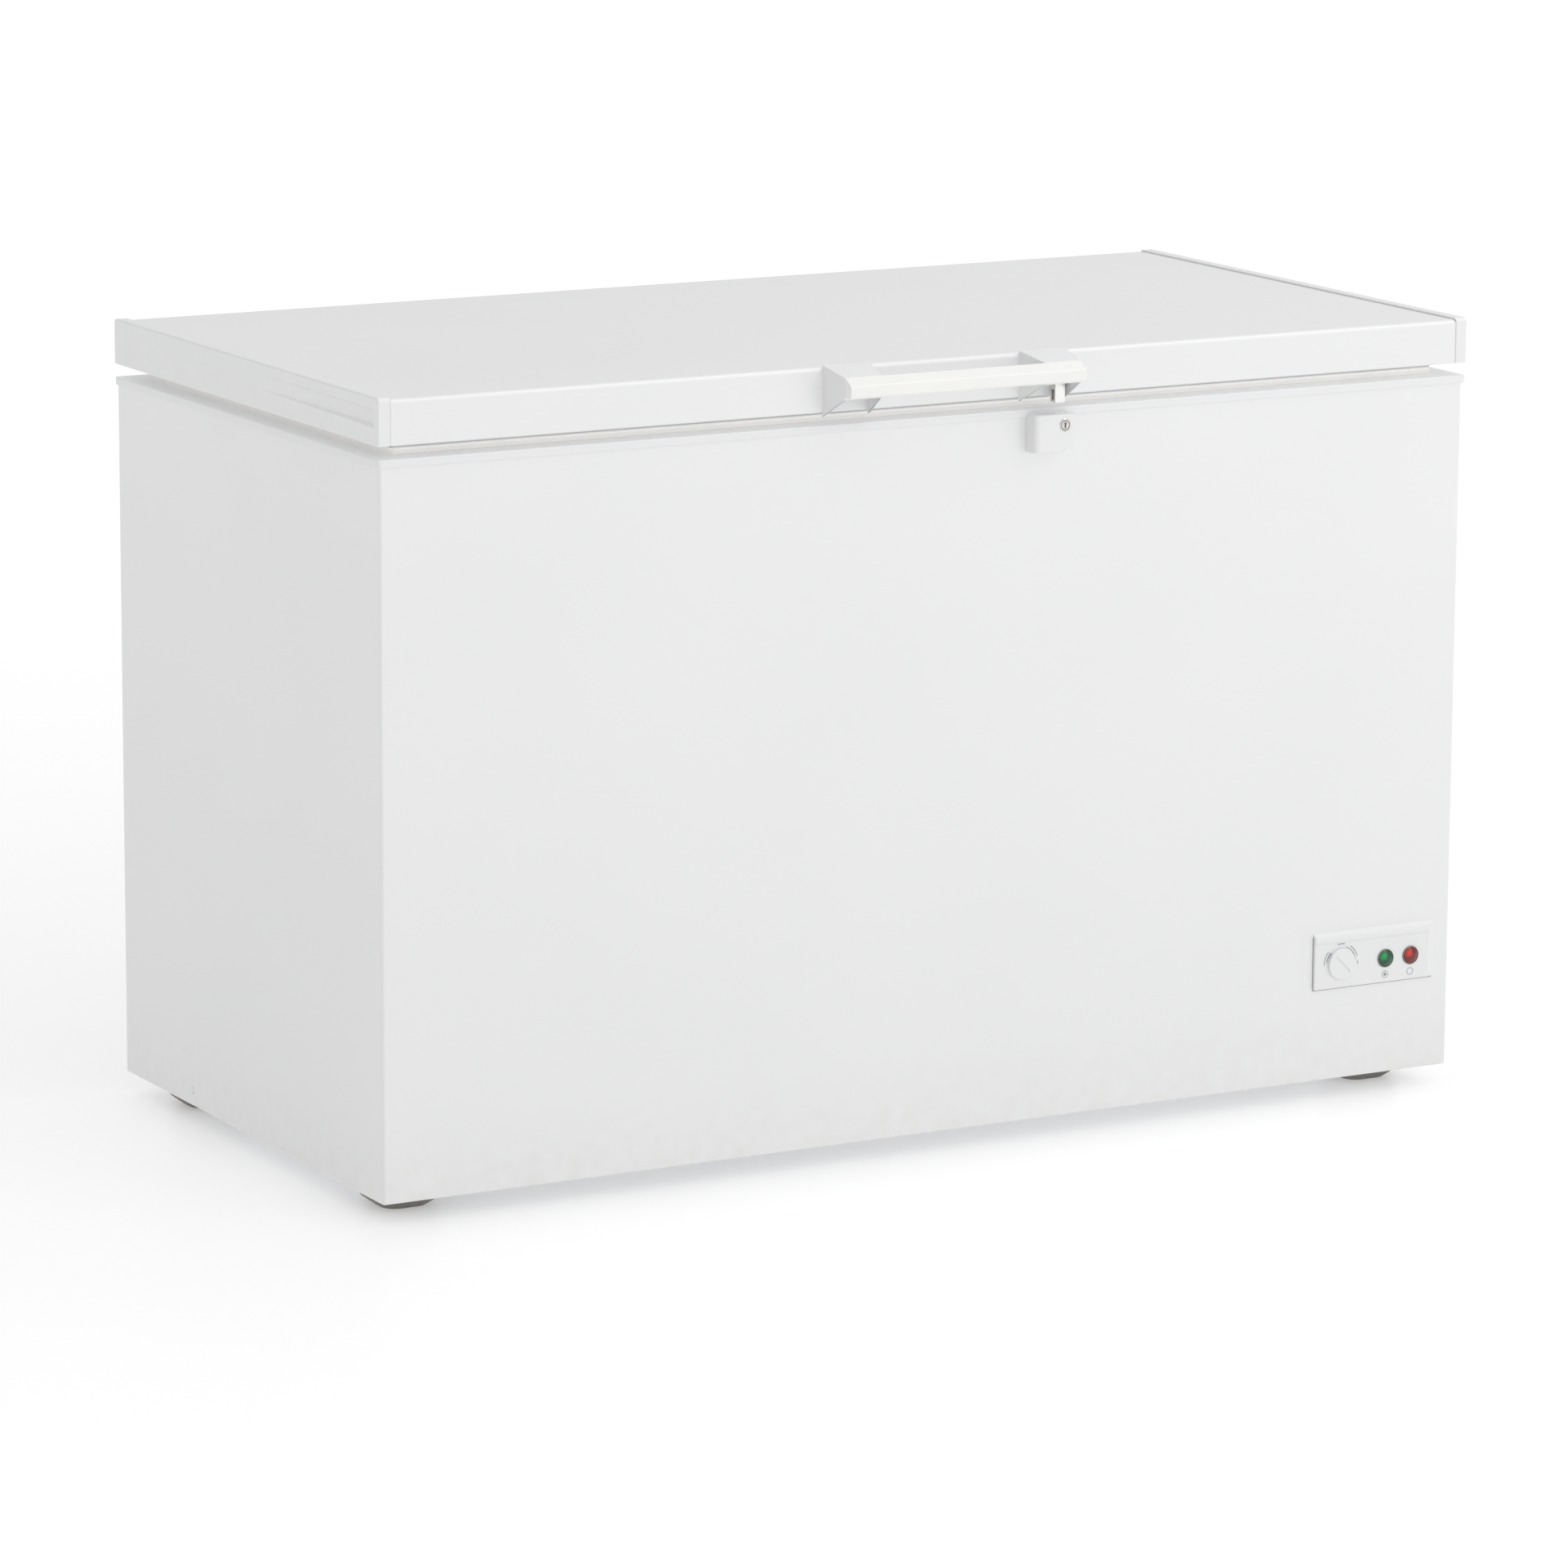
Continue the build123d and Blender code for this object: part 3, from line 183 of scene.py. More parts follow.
def worn_edges(tree, low=0.52, high=0.60):
    """1 on sharp outer edges and 0 elsewhere, for small pieces with plenty of corners."""
    geometry = tree.nodes.new("ShaderNodeNewGeometry")
    return spread(tree, geometry.outputs["Pointiness"], 0.0, 1.0, low, high)


print("finish helpers ready")

# %% [markdown]
# ## White enamel
# The folded sheets are sprayed and baked. Such paint is smooth, but it isn't a
# mirror: it dries with a faint orange peel of two or three millimetres, and a large
# sheet is never quite even in gloss. Low down the colour turns a touch darker and
# warmer in patches, strongest up to 24 millimetres above the floor and gone by 110.

# %% White enamel
ENAMEL = (0.815, 0.817, 0.819)
ENAMEL_SHADE = (0.803, 0.806, 0.810)
ENAMEL_LOW_TONE = (0.74, 0.735, 0.715)


def height_fade(tree, low_mm, high_mm):
    """1 at low_mm above the floor, falling to 0 at high_mm."""
    split = tree.nodes.new("ShaderNodeSeparateXYZ")
    tree.links.new(object_place(tree), split.inputs["Vector"])
    return spread(tree, split.outputs["Z"], 1.0, 0.0, low_mm * MM, high_mm * MM)


def times(tree, first, second):
    product = tree.nodes.new("ShaderNodeMath")
    product.operation = "MULTIPLY"
    tree.links.new(first, product.inputs[0])
    tree.links.new(second, product.inputs[1])
    return product.outputs[0]


def make_enamel():
    tree, shader = start_finish("white_enamel")
    clean = blend_colours(tree, clouds(tree, 260, 2), ENAMEL, ENAMEL_SHADE)
    # Darker and warmer in patches towards the bottom, strongest up to 24 mm above the floor and gone by 110
    # mm.
    low_tone = times(tree, height_fade(tree, 24, 110), spread(tree, grain(tree, 18, 6), 0.0, 0.55))
    tree.links.new(blend_colours(tree, low_tone, clean, ENAMEL_LOW_TONE), shader.inputs["Base Color"])
    tree.links.new(spread(tree, grain(tree, 160, 3), 0.36, 0.41), shader.inputs["Roughness"])
    shader.inputs["Coat Weight"].default_value = 0.35
    shader.inputs["Coat Roughness"].default_value = 0.10
    relief(tree, shader, grain(tree, 2.4, 1), 0.006, 0.5)


make_enamel()
print("enamel", ENAMEL)

# %% [markdown]
# ## Moulded plastics
# The end caps, the handle, the rim and the small covers are injection moulded. Such
# a part carries the fine spark-eroded texture of its mould, a satin gloss, and
# slightly cloudy colour where the melt flowed. One recipe serves all of them, with
# its own colour, gloss and grain for each. The seal also gives off a very faint
# light. The real one doesn't: here it stands in for light that bounces about in the
# narrow gap.

# %% Moulded plastics
SEAL_LIGHT = 0.14


def make_moulded(name, colour, shade, gloss, grain_mm, depth_mm, wear=None, inner_light=0.0):
    tree, shader = start_finish(name)
    body = blend_colours(tree, clouds(tree, 45, 4), colour, shade)
    if wear:
        body = blend_colours(tree, worn_edges(tree), body, wear)
    tree.links.new(body, shader.inputs["Base Color"])
    tree.links.new(spread(tree, grain(tree, 14, 5), *gloss), shader.inputs["Roughness"])
    relief(tree, shader, grain(tree, grain_mm, 2), depth_mm, 0.6)
    shader.inputs["Emission Color"].default_value = (*colour, 1.0)
    shader.inputs["Emission Strength"].default_value = inner_light


make_moulded("white_plastic", (0.800, 0.803, 0.806), (0.785, 0.79, 0.794), (0.34, 0.42), 0.7, 0.012)
make_moulded("warm_white_plastic", (0.875, 0.87, 0.85), (0.855, 0.85, 0.83), (0.26, 0.38), 0.6, 0.010)
make_moulded("black_plastic", (0.035, 0.035, 0.037), (0.022, 0.022, 0.024), (0.40, 0.55), 0.5, 0.02,
             wear=(0.10, 0.10, 0.10))
make_moulded("grey_plastic", (0.19, 0.175, 0.16), (0.15, 0.14, 0.13), (0.48, 0.62), 0.8, 0.03,
             wear=(0.27, 0.25, 0.235))
make_moulded("black_rubber", (0.028, 0.028, 0.028), (0.02, 0.02, 0.02), (0.65, 0.8), 0.4, 0.03,
             wear=(0.07, 0.07, 0.07))
make_moulded("ivory_seal", (0.88, 0.865, 0.845), (0.86, 0.845, 0.825), (0.50, 0.62), 0.9, 0.02,
             inner_light=SEAL_LIGHT)
make_moulded("rigid_foam", (0.86, 0.76, 0.50), (0.78, 0.66, 0.40), (0.80, 0.92), 1.6, 0.25)
make_moulded("grey_ink", (0.30, 0.32, 0.34), (0.25, 0.27, 0.29), (0.50, 0.60), 0.4, 0.004)
# This mid grey is used only for the painted shade in the seal's deepest fold.
make_moulded("painted_fold_shade", (0.60, 0.62, 0.64), (0.55, 0.57, 0.60), (0.50, 0.60), 0.4, 0.004)
print("plastics", len(finishes))

# %% [markdown]
# ## Metals
# Galvanised sheet shows a spangle: flat zinc crystals just under a centimetre wide,
# each with its own grey. A Voronoi texture gives such cells. Plated steel is finer
# and has short scratches. Copper tube browns in patches. Bright chrome is nearly a
# mirror with hairline scratches.

# %% Metals
def spangle(tree, size_mm):
    """A different value from 0 to 1 in each crystal of about size_mm."""
    cells = tree.nodes.new("ShaderNodeTexVoronoi")
    cells.inputs["Scale"].default_value = 1.0 / (size_mm * MM)
    tree.links.new(object_place(tree), cells.inputs["Vector"])
    split = tree.nodes.new("ShaderNodeSeparateColor")
    tree.links.new(cells.outputs["Color"], split.inputs["Color"])
    return split.outputs[0]


def make_metal(name, colour, shade, factor_maker, gloss, scratch_mm, depth_mm, stretch, worn=None):
    tree, shader = start_finish(name, 1.0)
    body = blend_colours(tree, factor_maker(tree), colour, shade)
    if worn:
        body = blend_colours(tree, worn_edges(tree), body, worn)
    tree.links.new(body, shader.inputs["Base Color"])
    tree.links.new(spread(tree, grain(tree, 9, 5), *gloss), shader.inputs["Roughness"])
    relief(tree, shader, grain(tree, scratch_mm, 3, stretch), depth_mm, 0.5)


make_metal("galvanised_sheet", (0.70, 0.71, 0.725), (0.635, 0.647, 0.664), lambda t: spangle(t, 8),
           (0.34, 0.50), 2.2, 0.01, (1, 1, 1))
make_metal("zinc_steel", (0.72, 0.72, 0.70), (0.58, 0.585, 0.58), lambda t: clouds(t, 6, 5),
           (0.26, 0.42), 0.5, 0.01, (1, 1, 6), (0.84, 0.84, 0.83))
make_metal("copper_tube", (0.80, 0.45, 0.30), (0.48, 0.25, 0.16), lambda t: clouds(t, 22, 6),
           (0.24, 0.46), 0.8, 0.01, (1, 1, 1))
make_metal("bright_chrome", (0.47, 0.465, 0.45), (0.38, 0.375, 0.36), lambda t: clouds(t, 5, 3),
           (0.07, 0.16), 0.3, 0.002, (1, 1, 12), (0.93, 0.93, 0.93))


def make_black_enamel():
    tree, shader = start_finish("black_enamel")
    body = blend_colours(tree, clouds(tree, 30, 5), (0.018, 0.018, 0.019), (0.03, 0.029, 0.028))
    tree.links.new(body, shader.inputs["Base Color"])
    tree.links.new(spread(tree, grain(tree, 12, 4), 0.24, 0.44), shader.inputs["Roughness"])
    relief(tree, shader, grain(tree, 1.5, 2), 0.03, 0.6)


make_black_enamel()
print("metals", sorted(finishes))

# %% [markdown]
# ## Embossed liner
# The tub is a thin coated sheet rolled with a leathery emboss, which hides dents and
# spreads light. Smooth Voronoi cells of about three millimetres make its pillows.

# %% Embossed liner
PILLOW = 3.4 * MM


def make_embossed():
    tree, shader = start_finish("embossed_liner")
    body = blend_colours(tree, clouds(tree, 120, 3), (0.80, 0.81, 0.82), (0.76, 0.77, 0.785))
    tree.links.new(body, shader.inputs["Base Color"])
    tree.links.new(spread(tree, grain(tree, 20, 4), 0.30, 0.42), shader.inputs["Roughness"])
    pillows = tree.nodes.new("ShaderNodeTexVoronoi")
    pillows.feature = "SMOOTH_F1"
    pillows.inputs["Scale"].default_value = 1.0 / PILLOW
    tree.links.new(object_place(tree), pillows.inputs["Vector"])
    relief(tree, shader, pillows.outputs["Distance"], 0.5, 0.5)


make_embossed()


def make_wire_coat():
    tree, shader = start_finish("coated_wire")
    body = blend_colours(tree, clouds(tree, 30, 4), (0.84, 0.845, 0.85), (0.80, 0.80, 0.80))
    tree.links.new(body, shader.inputs["Base Color"])
    tree.links.new(spread(tree, grain(tree, 8, 4), 0.22, 0.36), shader.inputs["Roughness"])
    relief(tree, shader, grain(tree, 2.5, 2), 0.05, 0.5)


make_wire_coat()
print("liner and wire ready")

# %% [markdown]
# ## Coloured lenses
# The lamps have clear moulded lenses. The light that comes back is the colour of the
# plastic itself, deeper where it is thick. A painted highlight brightens the colour
# towards a spot at the upper left of the dome, fine pips inside scatter the rest, and
# a smooth coat gives the wet highlight.

# %% Lenses
# Centre and reach of the painted highlight on each lens.
HIGHLIGHT_LEFT, HIGHLIGHT_UP = 4.4 * MM, 3.6 * MM
HIGHLIGHT_NEAR, HIGHLIGHT_FAR = 0.5 * MM, 6.5 * MM
PIP = 1.6 * MM


def make_lens(name, colour, deep, highlight_colour, lamp_node):
    """Deep colour, with a painted highlight towards the upper left of the dome."""
    low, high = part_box(lamp_node)
    highlight_spot = Vector(((low.x + high.x) / 2 - HIGHLIGHT_LEFT, low.y, (low.z + high.z) / 2 + HIGHLIGHT_UP))
    tree, shader = start_finish(name)
    offset = tree.nodes.new("ShaderNodeVectorMath")
    offset.operation = "DISTANCE"
    offset.inputs[1].default_value = highlight_spot
    tree.links.new(object_place(tree), offset.inputs[0])
    # Painted highlight: the colour brightens towards a spot at the upper left of the dome.
    painted_highlight = spread(tree, offset.outputs["Value"], 1.0, 0.0, HIGHLIGHT_NEAR, HIGHLIGHT_FAR)
    pips = tree.nodes.new("ShaderNodeTexVoronoi")
    pips.inputs["Scale"].default_value = 1.0 / PIP
    tree.links.new(object_place(tree), pips.inputs["Vector"])
    body = blend_colours(tree, spread(tree, pips.outputs["Distance"], 0.0, 1.0, 0.1, 0.7), colour, deep)
    tree.links.new(blend_colours(tree, painted_highlight, body, highlight_colour), shader.inputs["Base Color"])
    tree.links.new(spread(tree, grain(tree, 4, 3), 0.14, 0.22), shader.inputs["Roughness"])
    shader.inputs["Coat Weight"].default_value = 0.3
    shader.inputs["Coat Roughness"].default_value = 0.05
    relief(tree, shader, grain(tree, 3, 1), 0.02, 0.4)


# The last colour of each lens is its painted highlight.
make_lens("green_lens", (0.010, 0.085, 0.038), (0.006, 0.055, 0.025), (0.015, 0.42, 0.12), "lamp_green")
make_lens("red_lens", (0.19, 0.010, 0.010), (0.12, 0.006, 0.006), (0.80, 0.05, 0.03), "lamp_red")
print("finishes", len(finishes))

# %% [markdown]
# ## Carried-over CAD pieces
# Screws, hinges, pipes, the compressor and the covers already have their right
# shape from CAD. They keep it, and each takes the finish of its own material slot.

# %% Give every CAD node its finish
slot_of = {row["node"]: row["material_slot"] for row in frame["record"]["subparts"]}
for node_name, node in frame["nodes"].items():
    node.data.materials.clear()
    node.data.materials.append(finishes[slot_of[node_name]])
print("CAD nodes finished", len(slot_of))

# %% [markdown]
# ## Building pieces in mesh code
# Most pieces of a freezer are a loop that changes as it goes: a rim, a seal, a
# tub, a foot. So one helper makes a rounded rectangle, and one skins a list of
# such loops with quads. A third puts the mesh in the scene, rounds its edges with
# a bevel, smooths its shading, ties it to its body and hides the CAD nodes it replaces.

# %% Helpers for shapes
SHARP_ANGLE = math.radians(35)


def rounded_loop(x, y, z, radius, steps=6):
    """Points of a rectangle with round corners, seen from above, anticlockwise."""
    points = []
    corners = ((x[1] - radius, y[0] + radius, -90), (x[1] - radius, y[1] - radius, 0),
               (x[0] + radius, y[1] - radius, 90), (x[0] + radius, y[0] + radius, 180))
    for centre_x, centre_y, start in corners:
        for step in range(steps + 1):
            angle = math.radians(start + 90 * step / steps)
            points.append((centre_x + radius * math.cos(angle), centre_y + radius * math.sin(angle), z))
    return points


def lid_loop(inset_mm, z_mm, radius_mm):
    """A rounded loop that follows the lid's outline, inset_mm inside it."""
    inset = inset_mm * MM
    return rounded_loop((lid_x[0] + inset, lid_x[1] - inset), (lid_y[0] + inset, lid_y[1] - inset),
                        z_mm * MM, radius_mm * MM)


def skin(mesh, loops, ring=False, cap_first=False, cap_last=False):
    """Joins loops of equal length with quads."""
    rows = [[mesh.verts.new(point) for point in loop] for loop in loops]
    pairs = list(zip(rows, rows[1:]))
    if ring:
        pairs.append((rows[-1], rows[0]))
    for first, second in pairs:
        for index in range(len(first)):
            after = (index + 1) % len(first)
            mesh.faces.new((first[index], first[after], second[after], second[index]))
    if cap_first:
        mesh.faces.new(rows[0][::-1])
    if cap_last:
        mesh.faces.new(rows[-1])


def block(mesh, x, y, z):
    """A closed box; its edges are rounded later by the piece's bevel."""
    plan = ((x[0], y[0]), (x[1], y[0]), (x[1], y[1]), (x[0], y[1]))
    loops = [[(*corner, level) for corner in plan] for level in z]
    skin(mesh, loops, cap_first=True, cap_last=True)


def smooth_faces(data):
    """Smooth shading that stops at the piece's sharp edges."""
    data.shade_smooth()
    data.set_sharp_from_angle(angle=SHARP_ANGLE)


def soften_edges(piece, width_mm, segments=3):
    """Rounds a piece's sharp edges with a bevel."""
    rounding = piece.modifiers.new("edges", "BEVEL")
    rounding.width = width_mm * MM
    rounding.segments = segments
    rounding.limit_method = "ANGLE"
    rounding.angle_limit = SHARP_ANGLE


def even_shading(piece):
    """Lets the large flat faces set the shading, so rounded edges do not tint them."""
    normals = piece.modifiers.new("normals", "WEIGHTED_NORMAL")
    normals.weight = 100
    normals.keep_sharp = True


def place_piece(name, mesh, finish, body, replaced=(), bevel_mm=0.0, segments=3, wall_mm=0.0):
    """Puts a finished mesh in the scene, ties it to its body and hides the CAD nodes it stands for."""
    bmesh.ops.remove_doubles(mesh, verts=mesh.verts, dist=1e-6)
    bmesh.ops.recalc_face_normals(mesh, faces=mesh.faces)
    data = bpy.data.meshes.new(name)
    mesh.to_mesh(data)
    mesh.free()
    data.materials.append(finishes[finish])
    piece = bpy.data.objects.new(name, data)
    bpy.context.scene.collection.objects.link(piece)
    if bevel_mm:
        soften_edges(piece, bevel_mm, segments)
    if wall_mm:
        wall = piece.modifiers.new("wall", "SOLIDIFY")
        wall.thickness = wall_mm * MM
        wall.offset = -1.0
        wall.use_even_offset = True
    smooth_faces(data)
    even_shading(piece)
    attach(piece, body)
    if replaced:
        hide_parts(*replaced)
    print(name, len(data.polygons), "faces on", body)
    return piece


print("shape helpers ready")

# %% [markdown]
# ## The cabinet's skin
# On the real cabinet the front and both ends are one sheet, folded at two corners
# and turned in under the bottom. Here it is a strip that runs round the plan from
# one back edge to the other, with a profile that drops from the rim, bends and
# turns in. A solidify modifier gives it the sheet's thickness. The vent's window on
# the right end is simply left out of the strip.

# %% Cabinet skin
CORNER_BEND = 3.0 * MM
FLANGE = 15.0 * MM
SHEET = 0.8
SHEET_BEND = 1.2 * MM
VENT_LAP = 6.0 * MM
VENT_Z = (70.0 * MM, 220.0 * MM)


def skin_path():
    """Plan of the fold as (x, y, inner x, inner y) from the back left to the back right."""
    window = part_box("side_grille")
    window_y = (window[0].y + VENT_LAP, window[1].y - VENT_LAP)
    x_left, x_right = skin_low.x, skin_high.x
    y_front, y_back = skin_low.y, skin_high.y
    inner_left, inner_right, inner_front = x_left + FLANGE, x_right - FLANGE, y_front + FLANGE
    path = [(x_left, y_back, inner_left, y_back)]
    steps = 8
    folds = ((x_left + CORNER_BEND, 180, inner_left), (x_right - CORNER_BEND, 270, inner_right))
    for centre_x, start, inner_x in folds:
        for step in range(steps + 1):
            angle = math.radians(start + 90 * step / steps)
            path.append((centre_x + CORNER_BEND * math.cos(angle),
                         y_front + CORNER_BEND * (1 + math.sin(angle)), inner_x, inner_front))
    for y in (*window_y, y_back):
        path.append((x_right, y, inner_right, y))
    return path, window_y


def make_skin():
    path, window_y = skin_path()
    levels = (skin_high.z, VENT_Z[1], VENT_Z[0])
    mesh = bmesh.new()
    rows = []
    for x, y, inner_x, inner_y in path:
        column = [(x, y, level) for level in levels]
        inward = Vector((inner_x - x, inner_y - y, 0.0))
        turn = inward.normalized() * SHEET_BEND
        for step in range(5):
            angle = math.radians(90 * step / 4)
            column.append((x + turn.x * (1 - math.cos(angle)), y + turn.y * (1 - math.cos(angle)),
                           skin_low.z + SHEET_BEND * (1 - math.sin(angle))))
        column.append((inner_x, inner_y, skin_low.z))
        rows.append([mesh.verts.new(point) for point in column])
    for first, second, start in zip(rows, rows[1:], path):
        in_window = abs(start[0] - skin_high.x) < 1e-6 and abs(start[1] - window_y[0]) < 1e-6
        for index in range(len(first) - 1):
            if in_window and index == 1:
                continue
            mesh.faces.new((first[index], second[index], second[index + 1], first[index + 1]))
    return mesh


place_piece("cabinet_skin", make_skin(), "white_enamel", "cabinet", ["outer_wrap"],
            wall_mm=SHEET)

# %% [markdown]
# ## The rim
# A moulded rim closes the top of the walls. Outside it stands a few millimetres
# proud of the sheet, on top it is a flat seat for the seal, and inside it steps
# down to the ledge that the basket hangs on, then becomes a skirt that covers the
# liner's edge. One profile carried round the plan makes all of it.

# %% Rim
RIM_PROFILE = ((0, 779.0, 4), (0, 787.5, 4), (50, 787.5, 8), (50.4, 778.0, 8), (65, 777.6, 22),
               (65.4, 758.0, 22), (63, 758.0, 23), (62.6, 773.0, 23), (50, 773.5, 9), (4, 776.0, 3),
               (4, 779.0, 3))
rim_mesh = bmesh.new()
skin(rim_mesh, [lid_loop(*stop) for stop in RIM_PROFILE], ring=True)
place_piece("rim", rim_mesh, "white_plastic", "cabinet", ["top_frame"], bevel_mm=0.9)

# %% [markdown]
# ## The lid's sheet
# The lid is a shallow tray of the same enamelled sheet, turned over: rolled edges
# at the front and back, and a hem that turns in underneath. Its ends dip a little where
# they meet the end caps, which leaves the fine joint line that shows on the real lid.

# %% Lid sheet
ROLL = 5.5 * MM
HEM = 12.0 * MM
JOINT = 1.1 * MM


def lid_sheet_outline():
    """Outer line of the tray in (y, z), from the front hem over the top to the back hem."""
    front, back, low, top = sheet_low.y, sheet_high.y, sheet_low.z, sheet_high.z
    steps = 8
    points = [(front + HEM, low)]
    for step in range(steps // 2 + 1):
        angle = math.radians(270 - 180 * step / steps)
        points.append((front + SHEET_BEND * (1 + math.cos(angle)), low + SHEET_BEND * (1 + math.sin(angle))))
    for step in range(steps + 1):
        angle = math.radians(180 - 90 * step / steps)
        points.append((front + ROLL * (1 + math.cos(angle)), top - ROLL * (1 - math.sin(angle))))
    mirrored = [(front + back - y, z) for y, z in points[::-1]]
    return points + mirrored


def make_lid_sheet():
    mesh = bmesh.new()
    outline = lid_sheet_outline()
    middle_y, middle_z = (sheet_low.y + sheet_high.y) / 2, (sheet_low.z + sheet_high.z) / 2
    half_y, half_z = sheet_high.y - middle_y, sheet_high.z - middle_z
    stations = ((sheet_low.x, JOINT), (sheet_low.x + 0.4 * MM, 0.4 * JOINT), (sheet_low.x + JOINT, 0.0))
    stations += tuple((-x, sink) for x, sink in stations[::-1])
    rows = []
    for x, sink in stations:
        shrink_y, shrink_z = 1 - sink / half_y, 1 - sink / half_z
        rows.append([])
        for y, z in outline:
            place = (x, middle_y + (y - middle_y) * shrink_y, middle_z + (z - middle_z) * shrink_z)
            rows[-1].append(mesh.verts.new(place))
    for first, second in zip(rows, rows[1:]):
        for index in range(len(outline) - 1):
            mesh.faces.new((first[index], first[index + 1], second[index + 1], second[index]))
    return mesh


lid_sheet = make_lid_sheet()
place_piece("lid_sheet", lid_sheet, "white_enamel", "lid", ["lid_top_panel"],
            wall_mm=SHEET)

# %% [markdown]
# ## The end caps
# A moulded cap closes each end of the lid and stands two millimetres above the
# sheet. Its long edges are rounded over, and a shallow wedge is pressed into its
# outer face, deepest near the front, where a hand finds it. The cap is skinned from
# loops that shrink towards its outer face. The wedge is cut with a boolean.

# %% End caps
CAP_ROUND = 5.0
CAP_EDGE = 2.0
CAP_WALL = 3.0
SCOOP_START, SCOOP_LENGTH, SCOOP_DEPTH = 8.0 * MM, 282.0 * MM, 3.0 * MM
SCOOP_LEVELS = ((819.5 * MM, 0.05 * MM), (823.3 * MM, SCOOP_DEPTH), (838.5 * MM, SCOOP_DEPTH))


def cap_loop(x, inset_mm):
    """Outline of the cap in the upright plane at x, inset_mm inside its outer line."""
    inset = inset_mm * MM
    low, high = lid_z[0] + inset, lid_z[1] - inset
    front, back = lid_y[0] + inset, lid_y[1] - inset
    points = []
    corners = ((front, low, 180, 270, 0.8), (back, low, 270, 360, 0.8), (back, high, 0, 90, CAP_ROUND),
               (front, high, 90, 180, CAP_ROUND))
    for y, z, start, stop, radius_mm in corners:
        radius = max(radius_mm - inset_mm, 0.3) * MM
        centre_y = y + radius if y == front else y - radius
        centre_z = z + radius if z == low else z - radius
        for step in range(7):
            angle = math.radians(start + (stop - start) * step / 6)
            points.append((x, centre_y + radius * math.cos(angle), centre_z + radius * math.sin(angle)))
    return points


def make_cap(sign):
    inner = right_cap_low.x
    outer = right_cap_high.x
    loops = [(inner + 11 * MM, CAP_WALL), (inner, CAP_WALL), (inner, 0.7), (inner + 0.2 * MM, 0.25),
             (inner + 0.7 * MM, 0.0)]
    for step in range(7):
        angle = math.radians(90 * step / 6)
        loops.append((outer - CAP_EDGE * MM * (1 - math.sin(angle)), CAP_EDGE * (1 - math.cos(angle))))
    mesh = bmesh.new()
    skin(mesh, [cap_loop(x, inset) for x, inset in loops], cap_first=True, cap_last=True)
    for vertex in mesh.verts:
        vertex.co.x *= sign
    return mesh


def keep_cutter(mesh, name):
    """Puts a closed cutting shape in the scene until cut_away has used it."""
    bmesh.ops.recalc_face_normals(mesh, faces=mesh.faces)
    data = bpy.data.meshes.new(name)
    mesh.to_mesh(data)
    mesh.free()
    cutter = bpy.data.objects.new(name, data)
    bpy.context.scene.collection.objects.link(cutter)
    return cutter


def make_scoop_cutter(sign):
    """A long wedge, deepest at its front end. Its floor slopes out, to catch the light."""
    near = lid_y[0] + SCOOP_START
    outer = right_cap_high.x
    beyond = 1.0 * MM
    far = near + SCOOP_LENGTH * (1 + beyond / SCOOP_DEPTH)
    mesh = bmesh.new()
    loops = []
    for z, sink in SCOOP_LEVELS:
        plan = [(outer - sink, near), (outer + beyond, near), (outer + beyond, far)]
        loops.append([(sign * x, y, z) for x, y in plan])
    skin(mesh, loops, cap_first=True, cap_last=True)
    return keep_cutter(mesh, "scoop_cutter")


def cut_away(piece, cutter, bevel_mm=0.0):
    """Cuts the cutter's shape out of the piece for good and drops the cutter."""
    cut = piece.modifiers.new("cut", "BOOLEAN")
    cut.operation = "DIFFERENCE"
    cut.solver = "EXACT"
    cut.object = cutter
    view = bpy.context.evaluated_depsgraph_get()
    data = bpy.data.meshes.new_from_object(piece.evaluated_get(view))
    piece.modifiers.clear()
    piece.data = data
    bpy.data.objects.remove(cutter)
    smooth_faces(data)
    if bevel_mm:
        soften_edges(piece, bevel_mm)
    even_shading(piece)


for side_name, sign in (("left", -1), ("right", 1)):
    cap = place_piece("end_cap_" + side_name, make_cap(sign), "white_plastic", "lid",
                      ["lid_end_cap_" + side_name])
    cut_away(cap, make_scoop_cutter(sign))

# %% [markdown]
# ## The seal
# A magnetic seal is an extruded vinyl bellows with a flat strip that lands on the
# rim. Its folds catch the light as two thin lines in the gap under the lid. The
# folded profile is carried round the lid, mitred at the corners as the real one is
# welded. A second, darker ring half way up the gap is painted shade: the shadow in
# the deepest fold.

# %% Seal
SEAL_OUTSIDE = ((27.3, 788.0), (27.3, 792.6), (28.9, 793.2), (27.9, 794.2), (27.6, 798.4), (29.0, 799.6),
                (30.4, 801.6))
SEAL_INSIDE = tuple((76.0 - inset, z) for inset, z in SEAL_OUTSIDE[::-1])
seal_mesh = bmesh.new()
skin(seal_mesh, [lid_loop(inset, z, 5.0) for inset, z in SEAL_OUTSIDE + SEAL_INSIDE], ring=True)
place_piece("door_seal", seal_mesh, "ivory_seal", "lid", ["gasket"], bevel_mm=0.5,
            segments=2)
# A darker ring in the seal's deepest fold: painted shade for the shadow there.
fold_shade_mesh = bmesh.new()
SEAL_FOLD_SHADE = ((27.2, 794.9), (27.2, 796.1), (28.6, 796.1), (28.6, 794.9))
skin(fold_shade_mesh, [lid_loop(inset, z, 5.0) for inset, z in SEAL_FOLD_SHADE], ring=True)
place_piece("seal_fold_shade", fold_shade_mesh, "painted_fold_shade", "lid")

# %% [markdown]
# ## The lid's inner skin
# Under the lid is a vacuum-formed skin: a flat border that carries the seal, then a
# plug that drops into the mouth of the tub, with soft corners where the hot sheet
# stretched, and a shallow panel pressed into its middle to keep it stiff.

